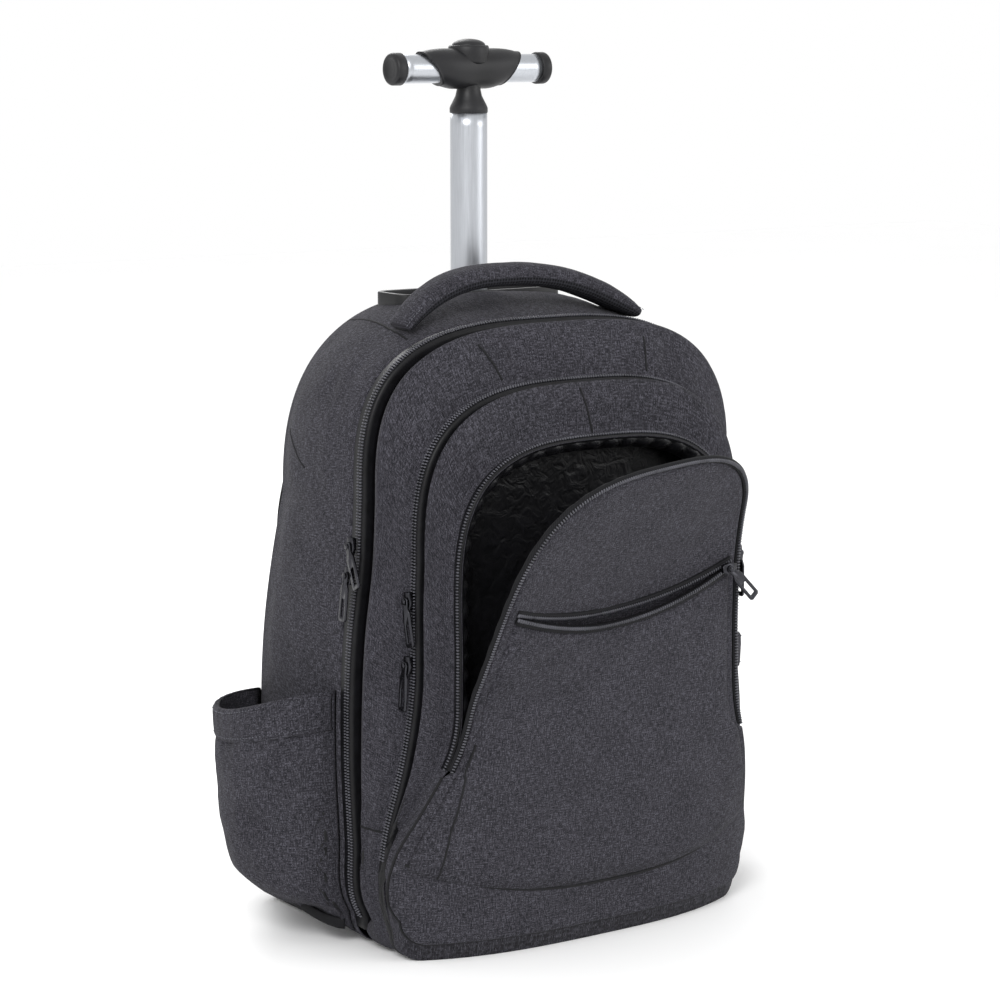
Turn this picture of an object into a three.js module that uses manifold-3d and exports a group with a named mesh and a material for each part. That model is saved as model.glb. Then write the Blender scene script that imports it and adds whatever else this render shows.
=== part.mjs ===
// A backpack on two wheels, standing on the floor with its trolley handle part raised.
// Three zipped compartments step down towards the front, and the front flap hangs open.
// Millimetres, +Z up. X runs across the bag, Y from the front panel to the back that is worn.
import * as THREE from "three";
import { mergeVertices } from "three/addons/utils/BufferGeometryUtils.js";
import Module from "manifold-3d";

const wasm = await Module();
wasm.setup();

// Clearance between neighbouring pieces, fabric and padding
const GAP = 0.3;
const FABRIC = 3;
const LINING = 2.5;
const EDGE_ROUND = 10;
const WALL_DISH = 1.5;
const WALL_MIDDLE = 0.5;

// Sections of the bag from the worn back to the front panel. half and top are the outline's
// largest half width and its height, foot is its lowest height, corner the radius of the lower
// corners, square the squareness of the arch, bow how far the lower corners fall back, puff the
// swell of the padded wall in front of the section, and zip the height of its zip's lower end.
const BACK = { y: 84, half: 172, top: 478, foot: 0, corner: 24, square: 2.5, bow: 0, puff: 7, zip: 110 };
const ZIP_1 = { y: -60, half: 177, top: 468, foot: 0, corner: 24, square: 3, bow: 0, puff: 5, zip: 24 };
const ZIP_2 = { y: -105, half: 168, top: 426, foot: 0, corner: 22, square: 3, bow: 14, puff: 4, zip: 70 };
const FRONT = { y: -138, half: 167, top: 387, foot: 14, corner: 18, square: 3, bow: 36, puff: 0, zip: 150 };
const PUFF_FROM = 0;
const PUFF_TO = 60;
const BOW_FROM = 60;
const BOW_TO = 190;

// Sides of each outline below its arch: columns are height as a share of top, width as a share
// of half. The last row is the shoulder, where the arch begins.
BACK.sides = [[0.1, 0.95], [0.2, 0.99], [0.33, 1], [0.48, 0.977], [0.61, 0.92], [0.69, 0.872]];
ZIP_1.sides = [[0.08, 0.97], [0.18, 0.985], [0.32, 1], [0.51, 0.983], [0.64, 0.94], [0.733, 0.927]];
ZIP_2.sides = [[0.1, 0.99], [0.2, 0.99], [0.36, 0.923], [0.48, 0.881], [0.64, 0.875], [0.704, 0.869]];
FRONT.sides = [[0.1, 0.99], [0.2, 0.99], [0.31, 0.9], [0.44, 0.785], [0.56, 0.77], [0.693, 0.772]];

// Steps along the bottom, the lower corner, the side below and above the zip's end, and half
// the arch
const STEPS = { bottom: 2, corner: 2, low: 2, high: 3, arch: 7 };
const SIDE_END = STEPS.bottom + STEPS.corner + STEPS.low + STEPS.high;
const CREST = SIDE_END + STEPS.arch;
const HALVINGS = 30;

// Zips
const TAPE_HALF = 6;
const TAPE_THICK = 1.6;
const TEETH_RISE = 1.2;
const GROOVE = TAPE_THICK + GAP;
const FLAP_TAPE = 5;
const FRONT_TAPE = 10;
const TOE_DEPTH = 4;

// Front panel: the flap bends forward about a crease that runs from low left to high right
const PANEL_THICK = 4;
const PANEL_CROWN = 6;
const CREASE_LEFT = 168;
const CREASE_RIGHT = 290;
const FLAP_LEAN = THREE.MathUtils.degToRad(30);
const FLAP_BEND = 60;
const PANEL_CENTRE = 190;

// Slip pocket on the front panel
const SLIP_SEAM_SIDE = 72;
const SLIP_SEAM_MID = 48;
const SLIP_MOUTH_SIDE = 274;
const SLIP_MOUTH_MID = 253;
const SLIP_DROOP = 10;
const SLIP_LIFT = 1.2;
const SLIP_MARGIN = 8;
const SLIP_TAPE = 5;

// Side pockets
const POCKET_FRONT = -49;
const POCKET_SWELL_TOP = 52;
const POCKET_SWELL_FOOT = 43;
const POCKET_RIM_FRONT = 198;
const POCKET_RIM_BACK = 176;
const POCKET_RIM_SAG = 8;
const POCKET_FOOT_FRONT = 10;
const POCKET_FOOT_BACK = 32;
const POCKET_SQUARE = 2.4;

// Piping round the lower front
const PIPING_R = 2;
const PIPING_TOP = 105;

// Grab handle on top
const GRAB_Y = -29;
const GRAB_HALF = 108;
const GRAB_WIDTH = 29;
const GRAB_THICK = 18;
const GRAB_RISE = 35;
const GRAB_SKEW = 0.16;

// Trolley
const POLE_Y = 40;
const POLE_R = 14.5;
const POLE_WALL = 1.5;
const POLE_LOW = 221;
const POLE_TOP = 620;
const RUNNING_GAP = 0.9;
const SLEEVE_WALL = 2.5;
const TRAY_HALF = 76;
const TRAY_DEPTH = 48;
const TRAY_LOW = 458;
const TRAY_TOP = 483;
const TRAY_CORNER = 14;
const TRAY_DISH = 5;

// T-handle
const BAR_Z = 654;
const BAR_R = 11;
const BAR_HALF = 63;
const BAR_WALL = 1.6;
const CAP_R = 12.5;
const CAP_LENGTH = 9;
const GRIP_TOP_HALF = 46;
const GRIP_LOW_HALF = 27;
const GRIP_R = 15.5;
const GRIP_END_R = 13.2;
const NECK_R = 9;
const NECK_FLARE = 14.5;
const SPIGOT_LENGTH = 24;
const BUTTON_R = 13;
const BUTTON_DOME = 5;
const BUTTON_TRAVEL = 3;
const BOSS_WALL = 2.5;
const BOSS_TOP = BAR_Z + 18;

// Base moulding and wheels
const BASE_FRONT = 14;
const BASE_REAR = 106;
const BASE_LOW = 2;
const BASE_TOP = 26;
const HOUSING_FRONT = 42;
const HOUSING_TOP = 64;
const BASE_ROUND = 22;
const BASE_INSET = 1;
const WHEEL_R = 28;
const WHEEL_WIDTH = 22;
const WHEEL_Y = 76;
const WELL_CLEAR = 3;
const WELL_WALL = 8;
const AXLE_R = 4;
const AXLE_SEAT = 5;
const HUB_R = 16;
const TREAD_ROUND = 4;

// Worn back: padded panel, shoulder straps, webbing tails and their adjusters
const PAD_HALF = 138;
const PAD_LOW = 72;
const PAD_TOP = 446;
const PAD_THICK = 12;
const PAD_CORNER = 34;
const STRAP_WIDTH = 62;
const STRAP_FOOT_WIDTH = 36;
const STRAP_THICK = 9;
const STRAP_X = 52;
const STRAP_SPREAD = 48;
const STRAP_TOP = 436;
const STRAP_LOW = 190;
const STRAP_STAND = 30;
const WEBBING_WIDTH = 22;
const WEBBING_THICK = 1.6;
const WEBBING_LOW = 92;
const ADJUSTER_LENGTH = 26;
const ADJUSTER_WIDTH = 34;
const ADJUSTER_THICK = 5;
const ADJUSTER_DROP = 1.6;

// Sliders and pull tabs
const SLIDER_LENGTH = 13;
const SLIDER_WIDTH = 9;
const SLIDER_THICK = 3.6;
const POST_R = 1.3;
const HEAD_R = 2.4;
const HEAD_THICK = 1;
const EYE_R = 3.2;
const PULL_LENGTH = 34;
const PULL_WIDTH = 9.5;
const PULL_THICK = 1.6;
const PULL_RIM = 3.5;
const TEETH_BACK = 2;
const FRONT_PULL_Z = 284;
const SLIP_PULL_SHARE = 0.95;
const SLIP_PULL_TURN = 45;
// Columns: name, section, height on the left side, turn of the hanging tab towards the front
const SIDE_PULLS = [
  { name: "1_upper", section: ZIP_1, height: 308, turn: 30 },
  { name: "1_lower", section: ZIP_1, height: 286, turn: 0 },
  { name: "2_upper", section: ZIP_2, height: 272, turn: 14 },
  { name: "2_lower", section: ZIP_2, height: 224, turn: 0 },
];

const fabric = new THREE.MeshStandardMaterial({ color: 0x46464f, roughness: 0.95, metalness: 0 });
const lining = new THREE.MeshStandardMaterial({ color: 0x1f1f23, roughness: 0.7, metalness: 0 });
const mesh_pad = new THREE.MeshStandardMaterial({ color: 0x26262a, roughness: 0.9, metalness: 0 });
const plastic = new THREE.MeshStandardMaterial({ color: 0x1d1d20, roughness: 0.55, metalness: 0 });
const rubber = new THREE.MeshStandardMaterial({ color: 0x151517, roughness: 0.85, metalness: 0 });
const alloy = new THREE.MeshStandardMaterial({ color: 0xc9cacc, roughness: 0.3, metalness: 1 });
const black_metal = new THREE.MeshStandardMaterial({ color: 0x1a1a1c, roughness: 0.35, metalness: 1 });

const bag = new THREE.Group();

function add(name, geometry, material) {
  const mesh = new THREE.Mesh(geometry, material);
  mesh.name = name;
  bag.add(mesh);
}

function lerp(a, b, t) {
  return a + (b - a) * t;
}

function smooth(value, from, to) {
  const t = THREE.MathUtils.clamp((value - from) / (to - from), 0, 1);
  return t * t * (3 - 2 * t);
}

// Closed body from rings of equally many points, each end closed by a fan to its centre
function skin(rings) {
  const count = rings[0].length;
  const points = rings.flat();
  const faces = [];
  for (let r = 0; r < rings.length - 1; r += 1) {
    for (let i = 0; i < count; i += 1) {
      const j = (i + 1) % count;
      quad(faces, r * count + i, r * count + j, (r + 1) * count + j, (r + 1) * count + i);
    }
  }
  const last = (rings.length - 1) * count;
  const first_centre = points.push(centre(rings[0])) - 1;
  const last_centre = points.push(centre(rings[rings.length - 1])) - 1;
  for (let i = 0; i < count; i += 1) {
    const j = (i + 1) % count;
    faces.push([i, first_centre, j], [last + i, last + j, last_centre]);
  }
  return faced(points, faces);
}

function quad(faces, a, b, c, d) {
  faces.push([a, b, c], [a, c, d]);
}

function centre(ring) {
  const sum = ring.reduce((total, p) => total.add(p), new THREE.Vector3());
  return sum.divideScalar(ring.length);
}

// Geometry with its faces turned outwards
function faced(points, faces) {
  const volume = faces.reduce((total, [a, b, c]) => {
    return total + points[a].dot(points[b].clone().cross(points[c]));
  }, 0);
  const turned = volume < 0 ? faces.map(([a, b, c]) => [a, c, b]) : faces;
  const geometry = new THREE.BufferGeometry().setFromPoints(points);
  geometry.setIndex(turned.flat());
  return geometry;
}

function solid(geometry) {
  const plain = new THREE.BufferGeometry();
  plain.setAttribute("position", geometry.getAttribute("position"));
  plain.setIndex(geometry.getIndex());
  const merged = mergeVertices(plain, 1e-3);
  const vertProperties = new Float32Array(merged.getAttribute("position").array);
  const triVerts = new Uint32Array(merged.getIndex().array);
  return new wasm.Manifold(new wasm.Mesh({ numProp: 3, vertProperties, triVerts }));
}

function geometryOf(manifold) {
  const { vertProperties, triVerts } = manifold.getMesh();
  const geometry = new THREE.BufferGeometry();
  geometry.setAttribute("position", new THREE.BufferAttribute(vertProperties, 3));
  geometry.setIndex(new THREE.BufferAttribute(triVerts, 1));
  return geometry;
}

function cut(geometry, ...tools) {
  return geometryOf(tools.reduce((body, tool) => body.subtract(solid(tool)), solid(geometry)));
}

function join(...parts) {
  return geometryOf(parts.map(solid).reduce((body, part) => body.add(part)));
}

function box(low, high) {
  const size = high.map((value, i) => value - low[i]);
  return new THREE.BoxGeometry(...size).translate(...low.map((value, i) => value + size[i] / 2));
}

// Round bar along an axis from one end to the other
function bar(radius, from, to, axis, sides = 16) {
  const geometry = new THREE.CylinderGeometry(radius, radius, to - from, sides);
  if (axis === "x") geometry.rotateZ(Math.PI / 2);
  if (axis === "z") geometry.rotateX(Math.PI / 2);
  const middle = (from + to) / 2;
  return geometry.translate(axis === "x" ? middle : 0, axis === "y" ? middle : 0, axis === "z" ? middle : 0);
}

// Outline of a section as a closed run of points, from the middle of its bottom by the right
function outline(section) {
  const { half, top, foot, corner, square, sides } = section;
  const shoulder = sides[sides.length - 1];
  const rows = sides.map(([height, width]) => new THREE.Vector2(width * half, height * top));
  const low = sides[0][1] * half - corner * 0.25;
  const curve = new THREE.SplineCurve([new THREE.Vector2(low, foot + corner), ...rows]);
  const right = [];
  for (let i = 0; i < STEPS.bottom; i += 1) {
    right.push(new THREE.Vector2((low - corner) * i / STEPS.bottom, foot));
  }
  for (let i = 0; i < STEPS.corner; i += 1) {
    const angle = (Math.PI / 2) * i / STEPS.corner;
    right.push(new THREE.Vector2(low - corner + corner * Math.sin(angle), foot + corner - corner * Math.cos(angle)));
  }
  right.push(...sideRows(curve, foot + corner, zipHeight(section), STEPS.low));
  right.push(...sideRows(curve, zipHeight(section), shoulder[0] * top, STEPS.high));
  const arch_half = shoulder[1] * half;
  const arch_foot = shoulder[0] * top;
  for (let i = 0; i <= STEPS.arch; i += 1) {
    const angle = (Math.PI / 2) * i / STEPS.arch;
    const across = Math.cos(angle) ** (2 / square);
    const up = Math.sin(angle) ** (2 / square);
    right.push(new THREE.Vector2(arch_half * across, arch_foot + (top - arch_foot) * up));
  }
  const left = right.slice(1, -1).reverse().map((p) => new THREE.Vector2(-p.x, p.y));
  return [...right, ...left];
}

// Height at which the side's lower steps end: the zip's lower end, unless that is at the corner
function zipHeight({ foot, corner, zip }) {
  return Math.max(zip, foot + 2 * corner);
}

// Points of the side's curve in equal steps of height, without the last
function sideRows(curve, from, to, steps) {
  const rows = [];
  for (let i = 0; i < steps; i += 1) {
    rows.push(curvePointAt(curve, lerp(from, to, i / steps)));
  }
  return rows;
}

function curvePointAt(curve, height) {
  let low = 0;
  let high = 1;
  for (let k = 0; k < HALVINGS; k += 1) {
    const middle = (low + high) / 2;
    if (curve.getPoint(middle).y < height) low = middle;
    else high = middle;
  }
  return curve.getPoint(low);
}

function bowAt(section, x, z) {
  const reach = Math.min(1, Math.abs(x) / section.half);
  return section.bow * reach ** 3 * (1 - smooth(z, BOW_FROM, BOW_TO));
}

// The section's outline at a distance behind it, drawn in by inset, a length or a function of z
function ring(section, behind = 0, inset = 0) {
  const points = outline(section).map((p) => {
    return new THREE.Vector3(p.x, section.y + behind + bowAt(section, p.x, p.y), p.y);
  });
  return drawnIn(points, inset);
}

function drawnIn(points, inset) {
  const count = points.length;
  return points.map((p, i) => {
    const before = points[(i + count - 1) % count];
    const after = points[(i + 1) % count];
    const normal = new THREE.Vector2(after.z - before.z, before.x - after.x).normalize();
    const amount = typeof inset === "function" ? inset(p.z) : inset;
    return new THREE.Vector3(p.x - normal.x * amount, p.y, p.z - normal.y * amount);
  });
}

function between(ring_a, ring_b, share) {
  return ring_a.map((p, i) => p.clone().lerp(ring_b[i], share));
}

// The ring shrunk towards its middle and moved along Y, for a wall with a slight dish
function shrunk(points, share, dish = 0) {
  const middle = centre(points);
  return points.map((p) => {
    return new THREE.Vector3(lerp(middle.x, p.x, share), p.y + dish, lerp(middle.z, p.z, share));
  });
}

// Groove for a zip tape in a shell's edge, from the height where the zip starts
function groove(section) {
  return (z) => (z > section.zip - GAP ? GROOVE : 0);
}

// Outer rings of a compartment from its back wall to its mouth
function outerRings(rear, front) {
  const rings = rear === BACK ? roundedBack() : groovedBack(rear);
  const swell = between(rings[rings.length - 1], ring(front), 0.5);
  rings.push(drawnIn(swell, puffed(rear)));
  rings.push(ring(front, TAPE_HALF + 1), ring(front, TAPE_HALF, groove(front)), ring(front, GAP, groove(front)));
  return rings;
}

function roundedBack() {
  const turn = EDGE_ROUND * 0.3;
  return [ring(BACK, 0, EDGE_ROUND), ring(BACK, -turn, turn), ring(BACK, -EDGE_ROUND)];
}

function groovedBack(section) {
  return [
    ring(section, -GAP, groove(section)),
    ring(section, -TAPE_HALF, groove(section)),
    ring(section, -TAPE_HALF - 1),
  ];
}

// Swell of a padded wall, none at the floor
function puffed(section) {
  return (z) => -section.puff * smooth(z, PUFF_FROM, PUFF_TO);
}

// A compartment: a cup of padded fabric, open towards the front. Its inside follows the outside
// at the back wall, at the swell, behind the zip's groove where the wall slopes, and at the mouth.
const SWELL = 3;

function compartment(outer, behind_groove = []) {
  const back = outer[0];
  const [corner, swell, mouth] = [outer[1], outer[SWELL], outer[outer.length - 1]].map((points) => {
    return drawnIn(points, FABRIC);
  });
  const inner_swell = swell.map((p) => shifted(p, FABRIC / 2));
  const inner_mouth = mouth.map((p) => shifted(p, 2 * GAP));
  const wall = corner.map((p, i) => new THREE.Vector3(p.x, back[i].y - FABRIC, p.z));
  return skin([
    shrunk(back, WALL_MIDDLE, -WALL_DISH), ...outer, inner_mouth, ...behind_groove, inner_swell, wall,
    shrunk(wall, WALL_MIDDLE, -WALL_DISH),
  ]);
}

const REAR_OUTER = outerRings(BACK, ZIP_1);
const MIDDLE_OUTER = outerRings(ZIP_1, ZIP_2);

// The front compartment's walls turn under at the toe, where the front panel's piping sits
const TOE = { ...FRONT, foot: ZIP_2.foot };

function frontRings() {
  const rim_groove = groove(FRONT);
  const rings = groovedBack(ZIP_2);
  const full = ring(TOE, FRONT_TAPE + 1);
  rings.push(drawnIn(between(rings[2], full, 0.5), puffed(ZIP_2)));
  rings.push(full, ring(TOE, FRONT_TAPE, rim_groove), ring(TOE, TOE_DEPTH, rim_groove));
  rings.push(ring(FRONT, TOE_DEPTH / 2, rim_groove), ring(FRONT, 0, rim_groove));
  return rings;
}

const FRONT_OUTER = frontRings();

// Half width of the rear compartment's outside at a depth and a height
function sideAt(y, z) {
  const rings = REAR_OUTER;
  let k = 1;
  while (k < rings.length - 1 && rings[k][0].y > y) k += 1;
  const a = rings[k - 1];
  const b = rings[k];
  const share = THREE.MathUtils.clamp((y - a[0].y) / (b[0].y - a[0].y || 1), 0, 1);
  const line = between(a, b, share);
  const start = STEPS.bottom;
  for (let i = start; i < CREST; i += 1) {
    if (line[i].z <= z && line[i + 1].z >= z) {
      return lerp(line[i].x, line[i + 1].x, (z - line[i].z) / (line[i + 1].z - line[i].z || 1));
    }
  }
  return line[start].x;
}

// The rear compartment grown by a clearance, to cut what lies on it
function rearBlock(clearance) {
  const grown = REAR_OUTER.map((points) => drawnIn(points, -clearance));
  const back = grown[0].map((p) => new THREE.Vector3(p.x, p.y + clearance, p.z));
  return skin([back, ...grown.slice(1)]);
}

// Profile of the base moulding seen from the side
function baseProfile() {
  const shape = new THREE.Shape();
  const top_round = BASE_ROUND / 2;
  shape.moveTo(BASE_FRONT, BASE_LOW);
  shape.lineTo(BASE_REAR - BASE_ROUND, BASE_LOW);
  shape.absarc(BASE_REAR - BASE_ROUND, BASE_LOW + BASE_ROUND, BASE_ROUND, -Math.PI / 2, 0, false);
  shape.lineTo(BASE_REAR, HOUSING_TOP - top_round);
  shape.absarc(BASE_REAR - top_round, HOUSING_TOP - top_round, top_round, 0, Math.PI / 2, false);
  shape.lineTo(HOUSING_FRONT, HOUSING_TOP);
  shape.lineTo(HOUSING_FRONT, BASE_TOP);
  shape.lineTo(BASE_FRONT, BASE_TOP);
  return shape;
}

// Room that the shell leaves for the base moulding, open below and behind
function baseRoom() {
  const shape = new THREE.Shape();
  shape.moveTo(BASE_FRONT - GAP, -BASE_REAR);
  shape.lineTo(2 * BASE_REAR, -BASE_REAR);
  shape.lineTo(2 * BASE_REAR, HOUSING_TOP + GAP);
  shape.lineTo(HOUSING_FRONT - GAP, HOUSING_TOP + GAP);
  shape.lineTo(HOUSING_FRONT - GAP, BASE_TOP + GAP);
  shape.lineTo(BASE_FRONT - GAP, BASE_TOP + GAP);
  return across(shape, 2 * BACK.half);
}

// A profile drawn in Y and Z, extruded across the bag
function across(shape, half, curveSegments = 4) {
  const options = { depth: 2 * half, bevelEnabled: false, curveSegments };
  const geometry = new THREE.ExtrudeGeometry(shape, options);
  const turn = new THREE.Matrix4().set(0, 0, 1, -half, 1, 0, 0, 0, 0, 1, 0, 0, 0, 0, 0, 1);
  return mergeVertices(bare(geometry)).applyMatrix4(turn);
}

function bare(geometry) {
  geometry.deleteAttribute("normal");
  geometry.deleteAttribute("uv");
  return geometry;
}

// A rounded rectangle about the pole, extruded upwards
function plate(half_x, depth, corner, low, high) {
  const half_y = depth / 2;
  const shape = new THREE.Shape();
  shape.moveTo(-half_x + corner, -half_y);
  shape.absarc(half_x - corner, -half_y + corner, corner, -Math.PI / 2, 0, false);
  shape.absarc(half_x - corner, half_y - corner, corner, 0, Math.PI / 2, false);
  shape.absarc(-half_x + corner, half_y - corner, corner, Math.PI / 2, Math.PI, false);
  shape.absarc(-half_x + corner, -half_y + corner, corner, Math.PI, Math.PI * 1.5, false);
  const geometry = new THREE.ExtrudeGeometry(shape, { depth: high - low, bevelEnabled: false, curveSegments: 3 });
  return geometry.translate(0, POLE_Y, low);
}

function bagBody() {
  const tray_hole = plate(TRAY_HALF + GAP, TRAY_DEPTH + 2 * GAP, TRAY_CORNER + GAP, TRAY_LOW - 20, TRAY_TOP + 20);
  add("rear_shell", cut(compartment(REAR_OUTER), tray_hole, baseRoom()), fabric);
  const inside = GROOVE + FABRIC;
  add("middle_shell", compartment(MIDDLE_OUTER, [ring(ZIP_2, TAPE_HALF + 1 + FABRIC, inside)]), fabric);
  add("front_shell", compartment(FRONT_OUTER, [ring(TOE, FRONT_TAPE + 1 + FABRIC, inside)]), fabric);
}

// Points of a closed ring from a height up, from the right foot over the arch to the left
function archIndices(points, from) {
  return points.map((_, i) => i).filter((i) => points[i].z > from - GAP);
}

// Zip tape in the groove between two shells, with its teeth as a ridge
function zipTape(section, y_front, y_back) {
  const base = ring(section);
  const low = drawnIn(base, GROOVE - GAP);
  const high = drawnIn(base, GROOVE - GAP - TAPE_THICK);
  const peak = drawnIn(base, GROOVE - GAP - TAPE_THICK - TEETH_RISE);
  return skin(archIndices(base, section.zip).map((i) => [
    shifted(low[i], y_front),
    shifted(high[i], y_front),
    shifted(peak[i], TEETH_BACK),
    shifted(high[i], y_back),
    shifted(low[i], y_back),
  ]));
}

function shifted(p, dy) {
  return new THREE.Vector3(p.x, p.y + dy, p.z);
}

function zips() {
  const reach = TAPE_HALF - GAP;
  add("zip_1", zipTape(ZIP_1, -reach, reach), lining);
  add("zip_2", zipTape(ZIP_2, -reach, reach), lining);
}

// Where the flap's crease line lies and how the panel bends about it. along is the distance in
// the panel from the crease, out the distance it has come forward, angle its lean there.
const CREASE = creaseLine();

function creaseLine() {
  const left = new THREE.Vector2(-halfAt(FRONT, CREASE_LEFT), CREASE_LEFT);
  const right = new THREE.Vector2(halfAt(FRONT, CREASE_RIGHT), CREASE_RIGHT);
  const run = right.clone().sub(left).normalize();
  return { start: left, run, up: new THREE.Vector2(-run.y, run.x) };
}

// Half width of a section's outline at a height
function halfAt(section, z) {
  const points = outline(section);
  for (let i = STEPS.bottom; i < CREST; i += 1) {
    const a = points[i];
    const b = points[i + 1];
    if (a.y <= z && b.y >= z) return lerp(a.x, b.x, (z - a.y) / (b.y - a.y || 1));
  }
  return 0;
}

function bend(height) {
  const start = -FLAP_BEND / 3;
  if (height <= start) return { along: height, out: 0, angle: 0 };
  const radius = FLAP_BEND / FLAP_LEAN;
  const angle = Math.min(FLAP_LEAN, (height - start) / radius);
  const straight = Math.max(0, height - start - FLAP_BEND);
  return {
    along: start + radius * Math.sin(angle) + straight * Math.cos(angle),
    out: radius * (1 - Math.cos(angle)) + straight * Math.sin(angle),
    angle,
  };
}

// Point of the front panel at a place in its flat outline and a depth behind its outer face
function panelPoint(x, z, depth) {
  const from_start = new THREE.Vector2(x, z).sub(CREASE.start);
  const a = from_start.dot(CREASE.run);
  const { along, out, angle } = bend(from_start.dot(CREASE.up));
  const flat = CREASE.start.clone().addScaledVector(CREASE.run, a);
  flat.addScaledVector(CREASE.up, along + depth * Math.sin(angle));
  const face = FRONT.y - GAP - PANEL_THICK - crownAt(x, z);
  return new THREE.Vector3(flat.x, face + bowAt(FRONT, x, z) - out + depth * Math.cos(angle), flat.y);
}

// Swell of the front panel's middle
function crownAt(x, z) {
  const across_share = Math.min(1, Math.abs(x) / halfAt(FRONT, THREE.MathUtils.clamp(z, FRONT.foot, FRONT.top)));
  const up_share = THREE.MathUtils.clamp((z - FRONT.foot) / (FRONT.top - FRONT.foot), 0, 1);
  return PANEL_CROWN * (1 - across_share ** 2) * 4 * up_share * (1 - up_share);
}

function flatOutline(edge) {
  return drawnIn(ring({ ...FRONT, bow: 0 }), edge);
}

function panelRings(edge, depth) {
  const flat = flatOutline(edge);
  const shares = [1, 0.84, 0.62, 0.38, 0.14];
  return shares.map((share) => flat.map((p) => {
    return panelPoint(p.x * share, lerp(PANEL_CENTRE, p.z, share), depth);
  }));
}

function panelEdge(z) {
  return z > FRONT.zip - GAP ? FLAP_TAPE + GAP : 0;
}

function frontPanel() {
  const outside = panelRings(panelEdge, 0).reverse();
  const inside = panelRings(panelEdge, PANEL_THICK);
  return skin([...outside, ...inside]);
}

// The panel's outer face brought forward by the clearance, to cut what lies on it
function panelBlock() {
  const outside = panelRings(panelEdge, -GAP).reverse();
  const inside = panelRings(panelEdge, PANEL_THICK);
  return skin([...outside, ...inside]);
}

// Tape along the flap's edge, which the panel's edge is sewn to
function flapTape() {
  const outer = flatOutline(0);
  const inner = flatOutline(FLAP_TAPE);
  const proud = TEETH_RISE / 2;
  return skin(archIndices(outer, FRONT.zip).map((i) => [
    panelPoint(outer[i].x, outer[i].z, -proud),
    panelPoint(outer[i].x, outer[i].z, PANEL_THICK),
    panelPoint(inner[i].x, inner[i].z, PANEL_THICK),
    panelPoint(inner[i].x, inner[i].z, -proud),
  ]));
}

// Slip pocket: a sheet on the lower panel, open along a slanting mouth that droops forward
const SLIP_ACROSS = 12;
const SLIP_UP = 7;

function slipFlat(u, v) {
  const seam = lerp(SLIP_SEAM_MID, SLIP_SEAM_SIDE, Math.abs(u) ** 2.5);
  const mouth = lerp(SLIP_MOUTH_MID, SLIP_MOUTH_SIDE, Math.abs(u) ** 2);
  const z = lerp(seam, mouth, v);
  const half = halfAt(FRONT, z) - SLIP_MARGIN - (z > FRONT.zip ? FLAP_TAPE : 0);
  return new THREE.Vector2(u * half, z);
}

function slipLift(u, v) {
  return GAP + SLIP_LIFT + SLIP_DROOP * (1 - u * u) * v ** 2;
}

// Closed sheet between two faces, each given for shares across from -1 to 1 and up from 0 to 1
function sheet(across_steps, up_steps, front, back) {
  const wide = across_steps + 1;
  const points = [];
  for (const face of [front, back]) {
    for (let j = 0; j <= up_steps; j += 1) {
      for (let i = 0; i <= across_steps; i += 1) {
        points.push(face(lerp(-1, 1, i / across_steps), j / up_steps));
      }
    }
  }
  const behind = wide * (up_steps + 1);
  const faces = [];
  for (let j = 0; j < up_steps; j += 1) {
    for (let i = 0; i < across_steps; i += 1) {
      const a = j * wide + i;
      const corners = [a, a + 1, a + wide + 1, a + wide];
      quad(faces, ...corners);
      quad(faces, ...corners.map((k) => k + behind).reverse());
    }
  }
  for (let i = 0; i < across_steps; i += 1) {
    const top = up_steps * wide + i;
    quad(faces, i + 1, i, i + behind, i + 1 + behind);
    quad(faces, top, top + 1, top + 1 + behind, top + behind);
  }
  for (let j = 0; j < up_steps; j += 1) {
    const left = j * wide;
    const right = left + across_steps;
    quad(faces, left, left + wide, left + wide + behind, left + behind);
    quad(faces, right + wide, right, right + behind, right + wide + behind);
  }
  return faced(points, faces);
}

function slipPocket() {
  const face = (depth) => (u, v) => {
    const flat = slipFlat(u, v);
    return panelPoint(flat.x, flat.y, -slipLift(u, v) - depth);
  };
  return cut(sheet(SLIP_ACROSS, SLIP_UP, face(LINING), face(0)), panelBlock());
}

// Half of the slip pocket's zip: a strip along the mouth, on the panel or on the pocket's edge
function slipTape(from, to, lift, thick) {
  const stations = [];
  for (let i = 0; i <= SLIP_ACROSS; i += 1) {
    const u = lerp(-1, 1, i / SLIP_ACROSS);
    const edge = slipFlat(u, 1);
    const near = lift(u);
    stations.push([
      panelPoint(edge.x, edge.y + from, -near),
      panelPoint(edge.x, edge.y + from, -near - thick),
      panelPoint(edge.x, edge.y + to, -near - thick),
      panelPoint(edge.x, edge.y + to, -near),
    ]);
  }
  return skin(stations);
}

function frontParts() {
  add("front_panel", frontPanel(), fabric);
  const reach = FRONT_TAPE - GAP;
  add("zip_3_body", zipTape(FRONT, 0, reach), lining);
  add("zip_3_flap", flapTape(), lining);
  add("slip_pocket", slipPocket(), fabric);
  const on_edge = (u) => slipLift(u, 1);
  const on_panel = () => 3 * GAP;
  add("slip_zip_lower", cut(slipTape(GAP, SLIP_TAPE, on_edge, TAPE_THICK), panelBlock()), lining);
  const above = SLIP_TAPE + 2 * GAP;
  add("slip_zip_upper", cut(slipTape(above, above + SLIP_TAPE, on_panel, TAPE_THICK), panelBlock()), lining);
}

// Side pocket: a gathered sheet on the bag's side that swells round what it holds
const POCKET_ACROSS = 12;
const POCKET_UP = 6;

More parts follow.
